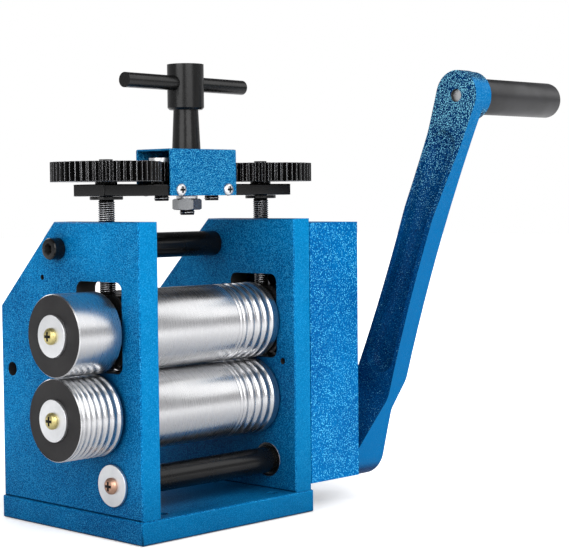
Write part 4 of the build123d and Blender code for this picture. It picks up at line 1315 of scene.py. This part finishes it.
# ------------------------------------------------------------------------------- studio
LAMPS = (
    ("key", (-450, -1300, 900), 1200, 20.0),
    ("left", (-1300, -250, 600), 1000, 9.5),
    ("right", (1150, -850, 1150), 1300, 8.0),
    ("back", (300, 1100, 900), 800, 5.0),
)
SKY_STOPS = (
    (0.0, (0.40, 0.40, 0.41)),
    (0.46, (0.60, 0.60, 0.61)),
    (0.54, (0.54, 0.54, 0.55)),
    (0.66, (0.26, 0.26, 0.27)),
    (0.85, (0.06, 0.06, 0.065)),
)


@dataclass
class Studio:
    """Pale floor, soft light and the camera."""

    eye: tuple[float, float, float] = (-672.757, -762.911, 198.852)
    yaw: float = 45.03
    pitch: float = 3.389
    roll: float = -0.584
    focal_px: float = 1623.45
    centre_px: tuple[float, float] = (258.73, 293.56)
    photo_px: tuple[float, float] = (569.0, 550.0)
    sensor: float = 36.0

    def build(self) -> None:
        """Set the stage."""
        self._floor()
        self._world()
        for lamp in LAMPS:
            self._lamp(*lamp)
        self._camera()

    def _floor(self) -> None:
        """Wide white floor that keeps a soft shadow."""
        reach = 6000
        corners = [(-reach, -reach, 0), (reach, -reach, 0), (reach, reach, 0), (-reach, reach, 0)]
        floor = solid("floor", corners, [(0, 1, 2, 3)], upright(0, 0, -0.4))

        def inputs(graph: Graph) -> dict[str, object]:
            """Whiten the floor where the camera or a reflection sees it."""
            seen, glossy = graph.rays()
            away = graph.node("ShaderNodeVectorMath", {"operation": "LENGTH"}, {0: graph.place()}, "Value")
            level = seen * (away.over(0.12, 0.45) * 0.65 + 0.35) + glossy * away.over(0.10, 0.5) * 0.70
            glow = graph.mix(level.over(0.0, 1.0), (0.0, 0.0, 0.0), (1.0, 1.0, 1.0))
            return {
                "Base Color": graph.mix(glossy, (0.86, 0.86, 0.86), (0.55, 0.55, 0.56)),
                "Roughness": 0.9,
                "Emission Color": glow,
                "Emission Strength": 1.0,
            }

        floor.data.materials.append(principled("floor_white", inputs))

    @staticmethod
    def _world() -> None:
        """White surroundings for the eye, and a sky that darkens upwards for light and gloss."""
        world = bpy.data.worlds.new("studio")
        world.use_nodes = True
        bpy.context.scene.world = world
        graph = Graph(world.node_tree)
        seen, glossy = graph.rays()
        ray = graph.node("ShaderNodeTexCoord", output="Generated")
        height = graph.node("ShaderNodeSeparateXYZ", {}, {"Vector": ray}, "Z")
        dim = graph.node("ShaderNodeValToRGB", {"stops": SKY_STOPS}, {0: height * 0.5 + 0.5})
        sky = graph.mix(glossy, (0.44, 0.44, 0.45), dim)
        colour = graph.mix(seen, sky, (1.0, 1.0, 1.0))
        light = graph.node("ShaderNodeBackground", {}, {"Color": colour, "Strength": 1.0})
        graph.node("ShaderNodeOutputWorld", {}, {"Surface": light})

    @staticmethod
    def _lamp(name: str, place: tuple[float, float, float], size: float, watts: float) -> None:
        """Add one soft lamp that looks at the mill's middle.

        Args:
            name: The lamp's name.
            place: Where it hangs.
            size: Its side.
            watts: Its power.
        """
        light = bpy.data.lights.new(name, "AREA")
        light.size = size * MM
        light.energy = watts
        lamp = stand(name, light)
        lamp.location = Vector(place) * MM
        aim = Vector((0.0, 0.0, 110.0)) - Vector(place)
        lamp.rotation_euler = aim.to_track_quat("-Z", "Y").to_euler()

    def _camera(self) -> None:
        """Set the camera where the photograph was taken from."""
        yaw, pitch, roll = (math.radians(a) for a in (self.yaw, self.pitch, self.roll))
        ahead = Vector((math.sin(yaw) * math.cos(pitch), math.cos(yaw) * math.cos(pitch), -math.sin(pitch)))
        right = Vector((math.cos(yaw), -math.sin(yaw), 0.0))
        up = right.cross(ahead)
        across = right * math.cos(roll) + up * math.sin(roll)
        upward = up * math.cos(roll) - right * math.sin(roll)
        data = bpy.data.cameras.new("camera")
        data.sensor_fit = "HORIZONTAL"
        data.sensor_width = self.sensor
        data.lens = self.focal_px / self.photo_px[0] * self.sensor
        data.shift_x = (self.photo_px[0] / 2 - self.centre_px[0]) / self.photo_px[0]
        data.shift_y = (self.centre_px[1] - self.photo_px[1] / 2) / self.photo_px[0]
        data.clip_start, data.clip_end = 0.05, 30.0
        camera = stand("camera", data)
        turn = Matrix((across, upward, -ahead)).transposed().to_4x4()
        camera.matrix_world = Matrix.Translation(Vector(self.eye) * MM) @ turn
        bpy.context.scene.camera = camera
        bpy.context.scene.view_settings.view_transform = "Standard"


def main() -> None:
    """Load the frame, dress it and set the stage."""
    logging.basicConfig(level=logging.INFO, format="%(name)s: %(message)s")
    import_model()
    for assembly in (Housing(), RollerSet(), SideRings(), CrankDrive(), PressureGear()):
        assembly.build()
        LOG.info("built %s", type(assembly).__name__)
    Studio().build()


if __name__ == "__main__":
    main()
